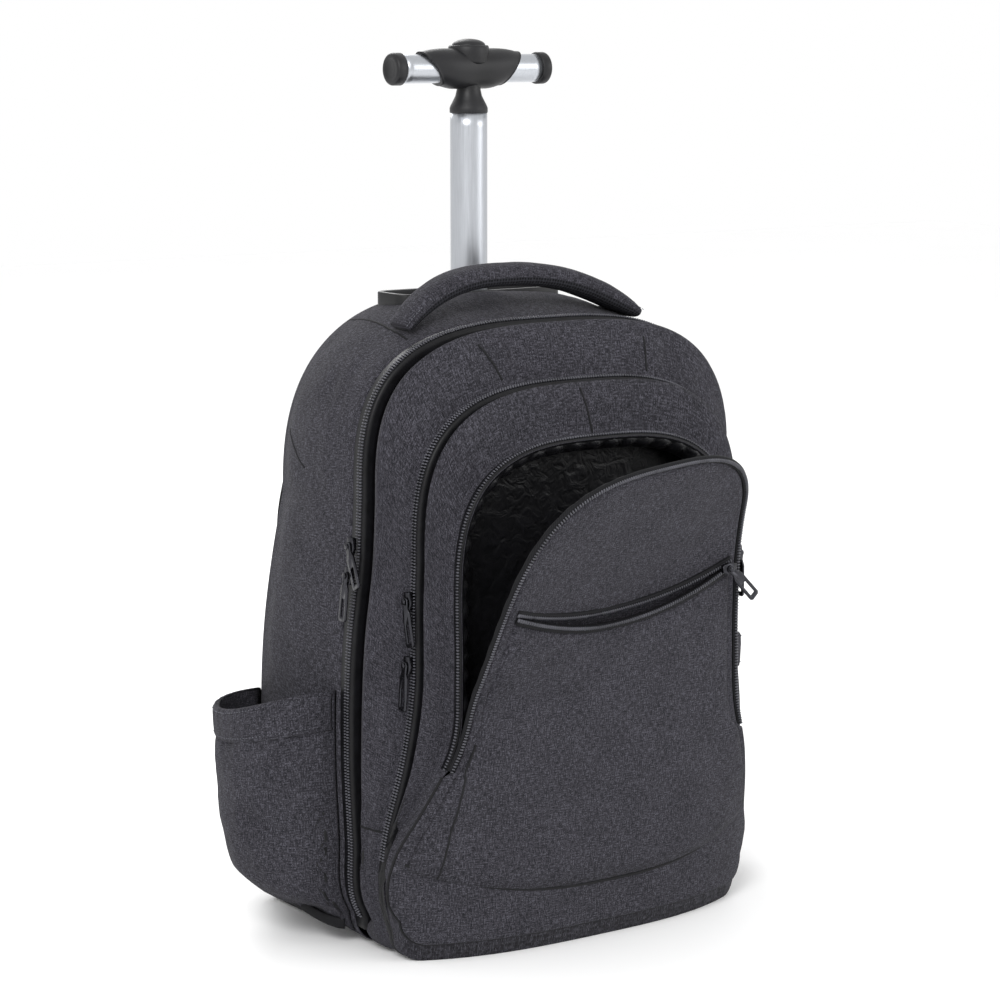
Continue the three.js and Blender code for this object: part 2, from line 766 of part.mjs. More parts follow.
function pocketPoint(u, v, lift) {
  const along = (u + 1) / 2;
  const y = lerp(POCKET_FRONT, BACK.y - EDGE_ROUND / 2, along);
  const rim = lerp(POCKET_RIM_FRONT, POCKET_RIM_BACK, along) - POCKET_RIM_SAG * Math.sin(Math.PI * along);
  const foot = lerp(POCKET_FOOT_FRONT, POCKET_FOOT_BACK, along);
  const z = lerp(foot, rim, v);
  const arc = (1 - Math.abs(u) ** POCKET_SQUARE) ** (1 / POCKET_SQUARE);
  const rise = Math.min(1, v / 0.22);
  const swell = lerp(POCKET_SWELL_FOOT, POCKET_SWELL_TOP, v) * Math.sin((Math.PI / 2) * rise) ** 0.7;
  return new THREE.Vector3(sideAt(y, z) + swell * arc + lift, y, z);
}

function sidePocket(side) {
  const mirror = (p) => new THREE.Vector3(side * p.x, p.y, p.z);
  const ease = (u) => Math.sign(u) * (1 - (1 - Math.abs(u)) ** 1.5);
  const outer = (u, v) => mirror(pocketPoint(ease(u), v, 2 * GAP + LINING));
  const inner = (u, v) => mirror(pocketPoint(ease(u), v, 2 * GAP));
  return cut(sheet(POCKET_ACROSS, POCKET_UP, outer, inner), rearBlock(GAP));
}

// Piping along the toe, up both front corners to where the second zip ends
function piping() {
  const base = ring(FRONT, -PIPING_R);
  const line = drawnIn(base, -PIPING_R - 1.5 * GAP);
  const order = line.map((_, i) => (i + line.length / 2) % line.length);
  const indices = order.filter((i) => line[i].z < PIPING_TOP);
  const sides = 6;
  return skin(indices.map((i) => {
    const outward = line[i].clone().sub(base[i]).normalize();
    const round = [];
    for (let k = 0; k < sides; k += 1) {
      const angle = (2 * Math.PI * k) / sides;
      const point = line[i].clone().addScaledVector(outward, PIPING_R * Math.cos(angle));
      round.push(shifted(point, PIPING_R * Math.sin(angle)));
    }
    return round;
  }));
}

// Grab handle: a padded loop over the top of the rear compartment
function grabHandle() {
  const steps = 12;
  const sections = [];
  for (let k = 0; k <= steps; k += 1) {
    const u = lerp(-1, 1, k / steps);
    const leaning = u + GRAB_SKEW * (1 - u * u);
    const lift = GRAB_RISE * (1 - Math.abs(leaning) ** 2.6);
    const low = topAt(GRAB_Y, GRAB_HALF * u * 0.98);
    const middle = topAt(GRAB_Y, 0) + lift - GRAB_THICK / 2;
    const z = Math.max(middle, low + GRAB_THICK / 2 + GAP);
    const wide = GRAB_WIDTH * (1 - 0.12 * Math.abs(u) ** 4);
    sections.push(ovalAcross(GRAB_HALF * u, GRAB_Y, z, wide / 2, GRAB_THICK / 2, 10));
  }
  return cut(skin(sections), rearBlock(GAP));
}

function ovalAcross(x, y, z, half_y, half_z, sides, square = 2.6) {
  const points = [];
  for (let k = 0; k < sides; k += 1) {
    const angle = (2 * Math.PI * (k + 0.5)) / sides;
    const dy = Math.sign(Math.cos(angle)) * Math.abs(Math.cos(angle)) ** (2 / square);
    const dz = Math.sign(Math.sin(angle)) * Math.abs(Math.sin(angle)) ** (2 / square);
    points.push(new THREE.Vector3(x, y + half_y * dy, z + half_z * dz));
  }
  return points;
}

// Height of the rear compartment's top at a depth and a distance from the middle
function topAt(y, x) {
  let low = BACK.top / 2;
  let high = BACK.top * 1.1;
  for (let k = 0; k < 30; k += 1) {
    const middle = (low + high) / 2;
    if (sideAt(y, middle) > Math.abs(x) && middle < crestAt(y)) low = middle;
    else high = middle;
  }
  return low;
}

function crestAt(y) {
  const rings = REAR_OUTER;
  let k = 1;
  while (k < rings.length - 1 && rings[k][0].y > y) k += 1;
  const a = rings[k - 1][CREST];
  const b = rings[k][CREST];
  return lerp(a.z, b.z, THREE.MathUtils.clamp((y - a.y) / (b.y - a.y || 1), 0, 1));
}

// Trolley: tray and sleeve stay in the bag, the pole slides through them
function poleTube(radius, wall, low, high, sides = 20) {
  const profile = [[radius - wall, low], [radius, low], [radius, high], [radius - wall, high], [radius - wall, low]];
  const geometry = new THREE.LatheGeometry(profile.map(([r, z]) => new THREE.Vector2(r, z)), sides);
  return bare(geometry).rotateX(Math.PI / 2).translate(0, POLE_Y, 0);
}

function trolley() {
  const sleeve_r = POLE_R + RUNNING_GAP + SLEEVE_WALL;
  const tray = plate(TRAY_HALF, TRAY_DEPTH, TRAY_CORNER, TRAY_LOW, TRAY_TOP);
  const dish = plate(TRAY_HALF - TRAY_DISH, TRAY_DEPTH - 2 * TRAY_DISH, TRAY_CORNER - TRAY_DISH, TRAY_TOP - TRAY_DISH, TRAY_TOP + 1);
  const hole = bar(POLE_R + RUNNING_GAP, TRAY_LOW - 1, TRAY_TOP + 1, "z", 20).translate(0, POLE_Y, 0);
  add("handle_tray", cut(tray, dish, hole), plastic);
  add("trolley_sleeve", poleTube(sleeve_r, SLEEVE_WALL, HOUSING_TOP + GAP, TRAY_LOW - GAP), alloy);
  add("trolley_pole", poleTube(POLE_R, POLE_WALL, POLE_LOW, POLE_TOP - GAP), alloy);
}

function handle() {
  const sections = [[-1, 0.92], [-0.8, 1.02], [0, 1.06], [0.8, 1.02], [1, 0.92]];
  const low_r = lerp(GRIP_END_R, GRIP_R, 0.5);
  const grip = skin(sections.map(([u, fat]) => {
    const radius = low_r * fat;
    return ovalAcross(0, POLE_Y, BAR_Z, radius, radius, 12, 2.2).map((p) => {
      const slant = THREE.MathUtils.clamp((p.z - BAR_Z) / radius, -1, 1);
      p.x = u * lerp(GRIP_LOW_HALF, GRIP_TOP_HALF, (slant + 1) / 2);
      return p;
    });
  }));
  const spigot_r = POLE_R - POLE_WALL - GAP;
  const profile = [
    [0, POLE_TOP - SPIGOT_LENGTH], [spigot_r, POLE_TOP - SPIGOT_LENGTH], [spigot_r, POLE_TOP],
    [NECK_FLARE, POLE_TOP], [NECK_FLARE * 0.97, POLE_TOP + 4], [NECK_FLARE * 0.8, POLE_TOP + 10],
    [NECK_R, POLE_TOP + 18], [NECK_R * 1.05, BAR_Z - GRIP_R + 4], [NECK_R * 1.3, BAR_Z - 6], [0, BAR_Z - 6],
  ];
  const neck = bare(new THREE.LatheGeometry(profile.map(([r, z]) => new THREE.Vector2(r, z)), 14));
  neck.rotateX(Math.PI / 2).translate(0, POLE_Y, 0);
  const boss_r = BUTTON_R + GAP + BOSS_WALL;
  const boss = bar(boss_r, BAR_Z + 2, BOSS_TOP, "z", 16).translate(0, POLE_Y, 0);
  const bore = bar(BAR_R + GAP, -BAR_HALF, BAR_HALF, "x", 16).translate(0, POLE_Y, BAR_Z);
  const seat_low = BOSS_TOP - BUTTON_TRAVEL - 2 * GAP - 1.4;
  const seat = bar(BUTTON_R + GAP, seat_low, BOSS_TOP + 1, "z", 16).translate(0, POLE_Y, 0);
  add("handle_grip", cut(join(grip, neck, boss), bore, seat), plastic);
  const cap_inner = BAR_HALF + GAP;
  add("cross_bar", barTube(), alloy);
  for (const [name, side] of [["left", -1], ["right", 1]]) add(`bar_cap_${name}`, barCap(side, cap_inner), plastic);
  const dome = [
    [0, BOSS_TOP - 1.4], [BUTTON_R, BOSS_TOP - 1.4], [BUTTON_R, BOSS_TOP],
    [BUTTON_R * 0.8, BOSS_TOP + BUTTON_DOME * 0.7], [BUTTON_R * 0.4, BOSS_TOP + BUTTON_DOME * 0.95], [0, BOSS_TOP + BUTTON_DOME],
  ];
  const button = bare(new THREE.LatheGeometry(dome.map(([r, z]) => new THREE.Vector2(r, z)), 16));
  add("push_button", button.rotateX(Math.PI / 2).translate(0, POLE_Y, 0), plastic);
}

function turned(profile, sides = 16) {
  const geometry = new THREE.LatheGeometry(profile.map(([r, x]) => new THREE.Vector2(r, x)), sides);
  return bare(geometry).rotateZ(-Math.PI / 2).translate(0, POLE_Y, BAR_Z);
}

function barTube() {
  const inner = BAR_R - BAR_WALL;
  return turned([[inner, -BAR_HALF], [BAR_R, -BAR_HALF], [BAR_R, BAR_HALF], [inner, BAR_HALF], [inner, -BAR_HALF]]);
}

// End cap with a plug in the bar's bore and a collar outside it
function barCap(side, from) {
  const plug = BAR_R - BAR_WALL - GAP;
  const profile = [
    [0, from - CAP_LENGTH], [plug, from - CAP_LENGTH], [plug, from], [CAP_R, from],
    [CAP_R, from + CAP_LENGTH * 0.6], [CAP_R - 2, from + CAP_LENGTH], [0, from + CAP_LENGTH],
  ];
  return turned(side < 0 ? profile.map(([r, x]) => [r, -x]).reverse() : profile);
}

// Base moulding with a well for each wheel
function base() {
  const half = sideAt(BACK.y - EDGE_ROUND, BASE_TOP) - BASE_INSET;
  const wheel_z = WHEEL_R;
  const outer = half - WELL_WALL;
  const inner = outer - WHEEL_WIDTH - 2 * WELL_CLEAR;
  const wells = [];
  const bores = [];
  for (const side of [-1, 1]) {
    const span = [side * inner, side * outer].sort((a, b) => a - b);
    wells.push(box([span[0], WHEEL_Y - WHEEL_R - WELL_CLEAR, BASE_LOW - 5], [span[1], BASE_REAR + 5, 2 * WHEEL_R + WELL_CLEAR]));
    const ends = [side * (inner - AXLE_SEAT - GAP), side * (outer + AXLE_SEAT + GAP)].sort((a, b) => a - b);
    bores.push(bar(AXLE_R + GAP, ends[0], ends[1], "x", 16).translate(0, WHEEL_Y, wheel_z));
  }
  add("base_moulding", cut(across(baseProfile(), half), ...wells, ...bores), plastic);
  for (const [name, side] of [["left", -1], ["right", 1]]) {
    const middle = side * (inner + outer) / 2;
    add(`wheel_${name}`, wheel(middle), rubber);
    const reach = (outer - inner) / 2 + AXLE_SEAT;
    add(`axle_${name}`, bar(AXLE_R, middle - reach, middle + reach, "x", 16).translate(0, WHEEL_Y, wheel_z), alloy);
  }
}

function wheel(middle) {
  const half = WHEEL_WIDTH / 2;
  const bore = AXLE_R + 0.4;
  const recess = half - 4;
  const side = [
    [bore, -half], [HUB_R * 0.5, -half], [HUB_R, -recess], [HUB_R + 2, -half],
    [WHEEL_R - TREAD_ROUND, -half], [WHEEL_R, -half + TREAD_ROUND],
  ];
  const profile = [...side, ...side.map(([r, x]) => [r, -x]).reverse(), side[0]];
  const geometry = new THREE.LatheGeometry(profile.map(([r, x]) => new THREE.Vector2(r, x)), 18);
  return bare(geometry).rotateZ(-Math.PI / 2).translate(middle, WHEEL_Y, WHEEL_R);
}

// Padded panel on the worn back, crowned towards its middle
function backPanel() {
  const shape = new THREE.Shape();
  const c = PAD_CORNER;
  shape.moveTo(-PAD_HALF + c, PAD_LOW);
  shape.absarc(PAD_HALF - c, PAD_LOW + c, c, -Math.PI / 2, 0, false);
  shape.absarc(padTopHalf() - c, PAD_TOP - c, c, 0, Math.PI / 2, false);
  shape.absarc(-padTopHalf() + c, PAD_TOP - c, c, Math.PI / 2, Math.PI, false);
  shape.absarc(-PAD_HALF + c, PAD_LOW + c, c, Math.PI, Math.PI * 1.5, false);
  const flat = shape.getPoints(4).slice(0, -1);
  const face = BACK.y + GAP;
  const layer = (share, rise) => flat.map((p) => {
    return new THREE.Vector3(p.x * share, face + rise, lerp((PAD_LOW + PAD_TOP) / 2, p.y, share));
  });
  return skin([
    layer(0.4, 0), layer(1, 0), layer(1, PAD_THICK * 0.5), layer(0.97, PAD_THICK * 0.85), layer(0.88, PAD_THICK),
    layer(0.4, PAD_THICK),
  ]);
}

function padTopHalf() {
  return PAD_HALF * 0.72;
}

// Centre line of a shoulder strap, from its sewn top down to its foot
function strapLine(side) {
  const back = BACK.y + 2 * GAP + PAD_THICK + STRAP_THICK / 2;
  const rows = [
    [0, 0, 0.1], [0.06, 0.1, 0.42], [0.25, 0.35, 1], [0.55, 0.8, 1], [0.82, 1, 0.6], [1, 1, 0.2],
  ];
  return new THREE.CatmullRomCurve3(rows.map(([down, spread, stand]) => new THREE.Vector3(
    side * (STRAP_X + STRAP_SPREAD * spread),
    back + STRAP_STAND * stand,
    lerp(STRAP_TOP, STRAP_LOW, down),
  )));
}

// Flat strap along a curve: width and thickness by share of its length, width lying across X
function strap(curve, steps, widthAt, thick) {
  const sections = [];
  for (let k = 0; k <= steps; k += 1) {
    const t = k / steps;
    const tangent = curve.getTangentAt(t);
    const wide = new THREE.Vector3(1, 0, 0).addScaledVector(tangent, -tangent.x).normalize();
    const out = tangent.clone().cross(wide).normalize();
    const half = widthAt(t) / 2;
    const round = Math.min(thick / 2, half) * 0.6;
    const corners = [
      [-half, -thick / 2 + round], [-half + round, -thick / 2], [half - round, -thick / 2], [half, -thick / 2 + round],
      [half, thick / 2 - round], [half - round, thick / 2], [-half + round, thick / 2], [-half, thick / 2 - round],
    ];
    const middle = curve.getPointAt(t);
    sections.push(corners.map(([a, b]) => middle.clone().addScaledVector(wide, a).addScaledVector(out, b)));
  }
  return skin(sections);
}

// A plain band with four corners, for webbing
function band(curve, steps, width, thick) {
  const sections = [];
  for (let k = 0; k <= steps; k += 1) {
    const t = k / steps;
    const tangent = curve.getTangentAt(t);
    const wide = new THREE.Vector3(1, 0, 0).addScaledVector(tangent, -tangent.x).normalize();
    const out = tangent.clone().cross(wide).normalize();
    const middle = curve.getPointAt(t);
    const corners = [[-1, -1], [1, -1], [1, 1], [-1, 1]];
    sections.push(corners.map(([a, b]) => {
      return middle.clone().addScaledVector(wide, a * width / 2).addScaledVector(out, b * thick / 2);
    }));
  }
  return skin(sections);
}

function wornBack() {
  add("back_panel", backPanel(), mesh_pad);
  for (const [name, side] of [["left", -1], ["right", 1]]) {
    const line = strapLine(side);
    const width = (t) => lerp(STRAP_WIDTH, STRAP_FOOT_WIDTH, smooth(t, 0.55, 1));
    add(`shoulder_strap_${name}`, strap(line, 12, width, STRAP_THICK), mesh_pad);
    const foot = line.getPointAt(1);
    const adjuster_high = foot.z - ADJUSTER_DROP;
    const adjuster_low = adjuster_high - ADJUSTER_LENGTH;
    const half = [ADJUSTER_WIDTH / 2, ADJUSTER_THICK / 2];
    const buckle = box([foot.x - half[0], foot.y - half[1], adjuster_low], [foot.x + half[0], foot.y + half[1], adjuster_high]);
    const slot_half = WEBBING_WIDTH / 2 + 1;
    const slot = (share) => {
      const z = lerp(adjuster_low, adjuster_high, share);
      return box([foot.x - slot_half, foot.y - ADJUSTER_THICK, z - 2.5], [foot.x + slot_half, foot.y + ADJUSTER_THICK, z + 2.5]);
    };
    add(`adjuster_${name}`, cut(buckle, slot(0.28), slot(0.68)), plastic);
    const low_y = BACK.y + 2 * GAP + PAD_THICK + WEBBING_THICK / 2;
    const webbing = new THREE.CatmullRomCurve3([
      new THREE.Vector3(foot.x, foot.y, adjuster_low - GAP),
      new THREE.Vector3(foot.x, lerp(foot.y, low_y, 0.5), lerp(adjuster_low, WEBBING_LOW, 0.4)),
      new THREE.Vector3(foot.x, low_y + WEBBING_THICK, WEBBING_LOW + WEBBING_WIDTH),
      new THREE.Vector3(foot.x, low_y, WEBBING_LOW),
    ]);
    add(`webbing_${name}`, band(webbing, 8, WEBBING_WIDTH, WEBBING_THICK), lining);
  }
}

// A slider: a plate that rides on the teeth, with a headed post that its tab swings on. The plate
// lies in the XY plane with the tape's run along Y, and the post rises along Z.
function sliderBody() {
  const half = SLIDER_WIDTH / 2;
  const long = SLIDER_LENGTH / 2;
  const shape = new THREE.Shape();
  const rows = [[0.6, -1], [1, -0.2], [0.8, 1]];
  shape.setFromPoints([
    ...rows.map(([x, y]) => new THREE.Vector2(x * half, y * long)),
    ...rows.reverse().map(([x, y]) => new THREE.Vector2(-x * half, y * long)),
  ]);
  const plate_body = bare(new THREE.ExtrudeGeometry(shape, { depth: SLIDER_THICK, bevelEnabled: false }));
  const tab_room = SLIDER_THICK + PULL_THICK + 2 * GAP;
  const post = bar(POST_R, SLIDER_THICK / 2, tab_room + HEAD_THICK / 2, "z", 8);
  const head = bar(HEAD_R, tab_room, tab_room + HEAD_THICK, "z", 8);
  return join(plate_body, post, head);
}

// A tab in the XY plane that hangs along -Y from its eye at the origin, with a window at its foot
function pullTab() {
  const half = PULL_WIDTH / 2;
  const shape = new THREE.Shape();
  const eye = EYE_R;
  const turn_in = 1.5;
  shape.absarc(0, 0, eye, Math.PI, 0, true);
  shape.lineTo(eye * 0.8, -eye * 1.6);
  shape.lineTo(half, -eye * 3);
  shape.lineTo(half, -PULL_LENGTH + turn_in);
  shape.lineTo(half - turn_in, -PULL_LENGTH);
  shape.lineTo(-half + turn_in, -PULL_LENGTH);
  shape.lineTo(-half, -PULL_LENGTH + turn_in);
  shape.lineTo(-half, -eye * 3);
  shape.lineTo(-eye * 0.8, -eye * 1.6);
  const hole = new THREE.Path();
  hole.absarc(0, 0, POST_R + GAP, 0, Math.PI * 2, false);
  const window = new THREE.Path();
  const low = -PULL_LENGTH + PULL_RIM;
  const high = -PULL_LENGTH * 0.5;
  const open = half - PULL_RIM * 0.7;
  window.setFromPoints([[-open, low], [open, low], [open, high], [-open, high]].map(([x, y]) => new THREE.Vector2(x, y)));
  shape.holes.push(hole, window);
  const options = { depth: PULL_THICK, bevelEnabled: false, curveSegments: 4 };
  return bare(new THREE.ExtrudeGeometry(shape, options)).translate(0, 0, SLIDER_THICK + GAP);
}

// A slider on its tape and its tab: out points away from the tape, run along it, and hang where
// the tab points
function zipPull(name, place, out, run, hang) {
  const slider_frame = new THREE.Matrix4().makeBasis(run.clone().cross(out), run, out).setPosition(place);
  add(`slider_${name}`, sliderBody().applyMatrix4(slider_frame), black_metal);
  const up = hang.clone().addScaledVector(out, -hang.dot(out)).normalize().negate();
  const tab_frame = new THREE.Matrix4().makeBasis(up.clone().cross(out), up, out).setPosition(place);
  add(`pull_${name}`, pullTab().applyMatrix4(tab_frame), black_metal);
}

function sidePulls() {
  for (const { name, section, height, turn } of SIDE_PULLS) {
    const above = halfAt(section, height + SLIDER_LENGTH);
    const below = halfAt(section, height - SLIDER_LENGTH);
    const run = new THREE.Vector3(below - above, 0, 2 * SLIDER_LENGTH).normalize();
    const out = new THREE.Vector3(-run.z, 0, run.x);
    const x = -halfAt(section, height);
    const place = new THREE.Vector3(x, section.y + bowAt(section, x, height) + TEETH_BACK, height);
    place.addScaledVector(out, TEETH_RISE + GAP);
    const lean = THREE.MathUtils.degToRad(turn);
    const hang = run.clone().multiplyScalar(-Math.cos(lean)).add(new THREE.Vector3(0, -Math.sin(lean), 0));
    zipPull(name, place, out, run, hang);
  }
}

function frontPulls() {
  const down = new THREE.Vector3(0, 0, -1);
  const half = halfAt(FRONT, FRONT_PULL_Z);
  const edge = new THREE.Vector3(half + TEETH_RISE + GAP, FRONT.y + TEETH_BACK, FRONT_PULL_Z);
  zipPull("3", edge, new THREE.Vector3(1, 0, 0), down.clone().negate(), down);
  const flat = slipFlat(SLIP_PULL_SHARE, 1);
  const lift = slipLift(SLIP_PULL_SHARE, 1) + TAPE_THICK + TEETH_RISE + GAP;
  const place = panelPoint(flat.x, flat.y + SLIP_TAPE + GAP, -lift);
  const lean = THREE.MathUtils.degToRad(SLIP_PULL_TURN);
  const hang = new THREE.Vector3(Math.sin(lean), 0, -Math.cos(lean));
  zipPull("slip", place, new THREE.Vector3(0, -1, 0), new THREE.Vector3(1, 0, 0), hang);
}

bagBody();
zips();
frontParts();
for (const [name, side] of [["left", -1], ["right", 1]]) add(`side_pocket_${name}`, sidePocket(side), fabric);
add("piping", piping(), lining);
add("grab_handle", grabHandle(), fabric);
trolley();
handle();
base();
wornBack();
sidePulls();
frontPulls();

// The origin lies at the middle of the bottom
const bounds = new THREE.Box3().setFromObject(bag);
bag.children.forEach((mesh) => {
  mesh.geometry.translate(-(bounds.min.x + bounds.max.x) / 2, -(bounds.min.y + bounds.max.y) / 2, -bounds.min.z);
});

export default bag;
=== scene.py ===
# A backpack on two wheels, dressed round its CAD frame: padded compartments with coil zips, the
# open front flap, pockets, trolley handle, wheels and the worn back. Shapes are worked out in
# millimetres in the bag's own frame, with the pole at a fixed depth, and become metres in meshes.
import copy
import math

import bmesh
import bpy
import numpy as np
from bpy.props import FloatProperty, FloatVectorProperty, PointerProperty
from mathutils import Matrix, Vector, noise


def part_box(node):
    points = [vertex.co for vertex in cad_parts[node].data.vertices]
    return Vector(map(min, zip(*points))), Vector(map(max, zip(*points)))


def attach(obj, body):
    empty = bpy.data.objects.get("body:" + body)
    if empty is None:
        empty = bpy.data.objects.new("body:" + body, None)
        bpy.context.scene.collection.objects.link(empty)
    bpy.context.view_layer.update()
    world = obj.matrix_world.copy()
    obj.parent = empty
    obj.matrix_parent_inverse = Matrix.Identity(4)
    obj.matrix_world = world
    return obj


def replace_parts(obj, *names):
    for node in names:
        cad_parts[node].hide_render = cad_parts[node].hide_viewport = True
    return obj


bl_info = {
    "name": "Wheeled Backpack",
    "version": (1, 0, 0),
    "blender": (4, 5, 0),
    "location": "View3D > Sidebar > Backpack",
    "description": "Builds the looks of a backpack on wheels around its CAD frame",
    "category": "Object",
}

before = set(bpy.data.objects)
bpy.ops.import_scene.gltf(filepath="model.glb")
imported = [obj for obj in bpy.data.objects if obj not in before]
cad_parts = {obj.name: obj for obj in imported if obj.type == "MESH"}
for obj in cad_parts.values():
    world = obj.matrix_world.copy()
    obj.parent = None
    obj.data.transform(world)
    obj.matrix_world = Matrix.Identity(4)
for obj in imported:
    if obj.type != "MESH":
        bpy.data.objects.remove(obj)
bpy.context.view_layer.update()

MM = 0.001
ROOT = "root"
TROLLEY = "trolley"
SIDES = (("left", -1), ("right", 1))

# The bag's own frame: the pole stands at this depth, and the worn back is behind it
POLE_Y = 40.0
_pole_low, _pole_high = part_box("trolley_pole")
SHIFT = np.array([(_pole_low.x + _pole_high.x) / 2, (_pole_low.y + _pole_high.y) / 2 - POLE_Y * MM, 0])


def metres(points):
    """Points of the bag's own frame, in millimetres, as points of the shared frame, in metres."""
    return np.asarray(points, float) * MM + SHIFT


def box_mm(node_name):
    """Lowest and highest corner of a CAD node in the bag's own frame."""
    low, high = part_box(node_name)
    return (np.array(low) - SHIFT) / MM, (np.array(high) - SHIFT) / MM


# Sections of the bag


class Section:
    """Outline of the bag at one depth. The sides' rows are height as a share of top and width as
    a share of half; the last row is the shoulder, where the arch begins."""

    def __init__(self, y, half, top, foot, corner, square, bow, zip_foot, sides):
        self.y, self.half, self.top, self.foot = y, half, top, foot
        self.corner, self.square, self.bow, self.zip_foot = corner, square, bow, zip_foot
        self.heights = np.array([row[0] for row in sides]) * top
        self.widths = np.array([row[1] for row in sides]) * half


BACK = Section(84, 172, 478, 0, 24, 2.5, 0, 110, [
    (0.1, 0.95), (0.2, 0.99), (0.33, 1), (0.48, 0.977), (0.61, 0.92), (0.69, 0.872)])
ZIP_1 = Section(-60, 177, 468, 0, 24, 3, 0, 24, [
    (0.08, 0.97), (0.18, 0.985), (0.32, 1), (0.51, 0.983), (0.64, 0.94), (0.733, 0.927)])
ZIP_2 = Section(-105, 168, 426, 0, 22, 3, 14, 70, [
    (0.1, 0.99), (0.2, 0.99), (0.36, 0.923), (0.48, 0.881), (0.64, 0.875), (0.704, 0.869)])
FRONT = Section(-138, 167, 387, 14, 18, 3, 36, 150, [
    (0.1, 0.99), (0.2, 0.99), (0.31, 0.9), (0.44, 0.785), (0.56, 0.77), (0.693, 0.772)])
BOW_FROM, BOW_TO = 60, 190

# Points along the bottom, the lower corner, the side below and above the zip's foot, half the arch
STEPS = {"bottom": 14, "corner": 8, "low": 20, "high": 34, "arch": 60}
CREST = sum(STEPS.values())
RING = 2 * CREST
ARCH_SAMPLES = 400


def smooth(value, start, end):
    """Smooth step from 0 at start to 1 at end."""
    t = np.clip((np.asarray(value, float) - start) / (end - start), 0, 1)
    return t * t * (3 - 2 * t)


def lerp(a, b, share):
    return a + (b - a) * share


def through(at, xs, ys):
    """Smooth curve through a table's rows, evaluated at the given places."""
    xs, ys, at = np.asarray(xs, float), np.asarray(ys, float), np.asarray(at, float)
    slopes = np.gradient(ys, xs)
    i = np.clip(np.searchsorted(xs, at) - 1, 0, len(xs) - 2)
    span = xs[i + 1] - xs[i]
    t = np.clip((at - xs[i]) / span, 0, 1)
    value = (2 * t**3 - 3 * t**2 + 1) * ys[i] + (3 * t**2 - 2 * t**3) * ys[i + 1]
    return value + span * ((t**3 - 2 * t**2 + t) * slopes[i] + (t**3 - t**2) * slopes[i + 1])


def evenly(points, count):
    """The polyline's points resampled at equal distances, without its last point."""
    steps = np.linalg.norm(np.diff(points, axis=0), axis=1)
    along = np.concatenate([[0], np.cumsum(steps)])
    at = np.linspace(0, along[-1], count + 1)[:-1]
    return np.stack([np.interp(at, along, points[:, k]) for k in range(points.shape[1])], 1)


def side_width(section, z):
    """Half width of a section's side at a height, below the shoulder."""
    low = section.widths[0] - section.corner * 0.25
    heights = np.concatenate([[section.foot + section.corner], section.heights])
    widths = np.concatenate([[low], section.widths])
    return through(z, heights, widths)


def outline(section):
    """Closed outline in X and Z, from the middle of the bottom up the right side and back."""
    low = section.widths[0] - section.corner * 0.25
    foot, corner = section.foot, section.corner
    bottom = np.linspace([0, foot], [low - corner, foot], STEPS["bottom"], endpoint=False)
    angle = np.linspace(0, math.pi / 2, STEPS["corner"], endpoint=False)
    turn = np.stack([low - corner + corner * np.sin(angle), foot + corner - corner * np.cos(angle)], 1)
    split = max(section.zip_foot, foot + 2 * corner)
    z_low = np.linspace(foot + corner, split, STEPS["low"], endpoint=False)
    z_high = np.linspace(split, section.heights[-1], STEPS["high"], endpoint=False)
    sides = [np.stack([side_width(section, z), z], 1) for z in (z_low, z_high)]
    theta = np.linspace(0, math.pi / 2, ARCH_SAMPLES)
    across = np.cos(theta).clip(0) ** (2 / section.square)
    up = np.sin(theta).clip(0) ** (2 / section.square)
    shoulder = section.heights[-1]
    arch = np.stack([section.widths[-1] * across, shoulder + (section.top - shoulder) * up], 1)
    crest = np.array([[0.0, section.top]])
    right = np.concatenate([bottom, turn, *sides, evenly(arch, STEPS["arch"]), crest])
    left = right[1:-1][::-1] * [-1, 1]
    return np.concatenate([right, left])


def bow_at(section, x, z):
    """How far a section's lower corners fall back."""
    reach = np.clip(np.abs(x) / section.half, 0, 1)
    return section.bow * reach**3 * (1 - smooth(z, BOW_FROM, BOW_TO))


def ring(section, behind=0, inset=0):
    """The outline as points in space at a distance behind the section, drawn in by inset."""
    flat = outline(section)
    depth = section.y + behind + bow_at(section, flat[:, 0], flat[:, 1])
    return drawn_in(np.stack([flat[:, 0], depth, flat[:, 1]], 1), inset)


def ring_normals(points):
    """Outward directions in the X and Z plane of a closed ring."""
    step = np.roll(points, -1, 0) - np.roll(points, 1, 0)
    normal = np.stack([step[:, 2], np.zeros(len(points)), -step[:, 0]], 1)
    return normal / np.linalg.norm(normal, axis=1, keepdims=True)


def drawn_in(points, inset):
    return points - ring_normals(points) * np.reshape(inset, (-1, 1))


def half_at(section, z):
    """Half width of a section's outline at heights up to its top."""
    flat = outline(section)[STEPS["bottom"]:CREST + 1]
    return np.interp(z, flat[:, 1], flat[:, 0])


# Meshes


def surface(grid, closed=False):
    """Corner indices of a grid's quads; closed joins the last column to the first."""
    rows, columns = grid.shape[:2]
    r, c = np.meshgrid(np.arange(rows - 1), np.arange(columns if closed else columns - 1), indexing="ij")
    r, c = r.ravel(), c.ravel()
    d = (c + 1) % columns
    return np.stack([r * columns + c, r * columns + d, (r + 1) * columns + d, (r + 1) * columns + c], 1)


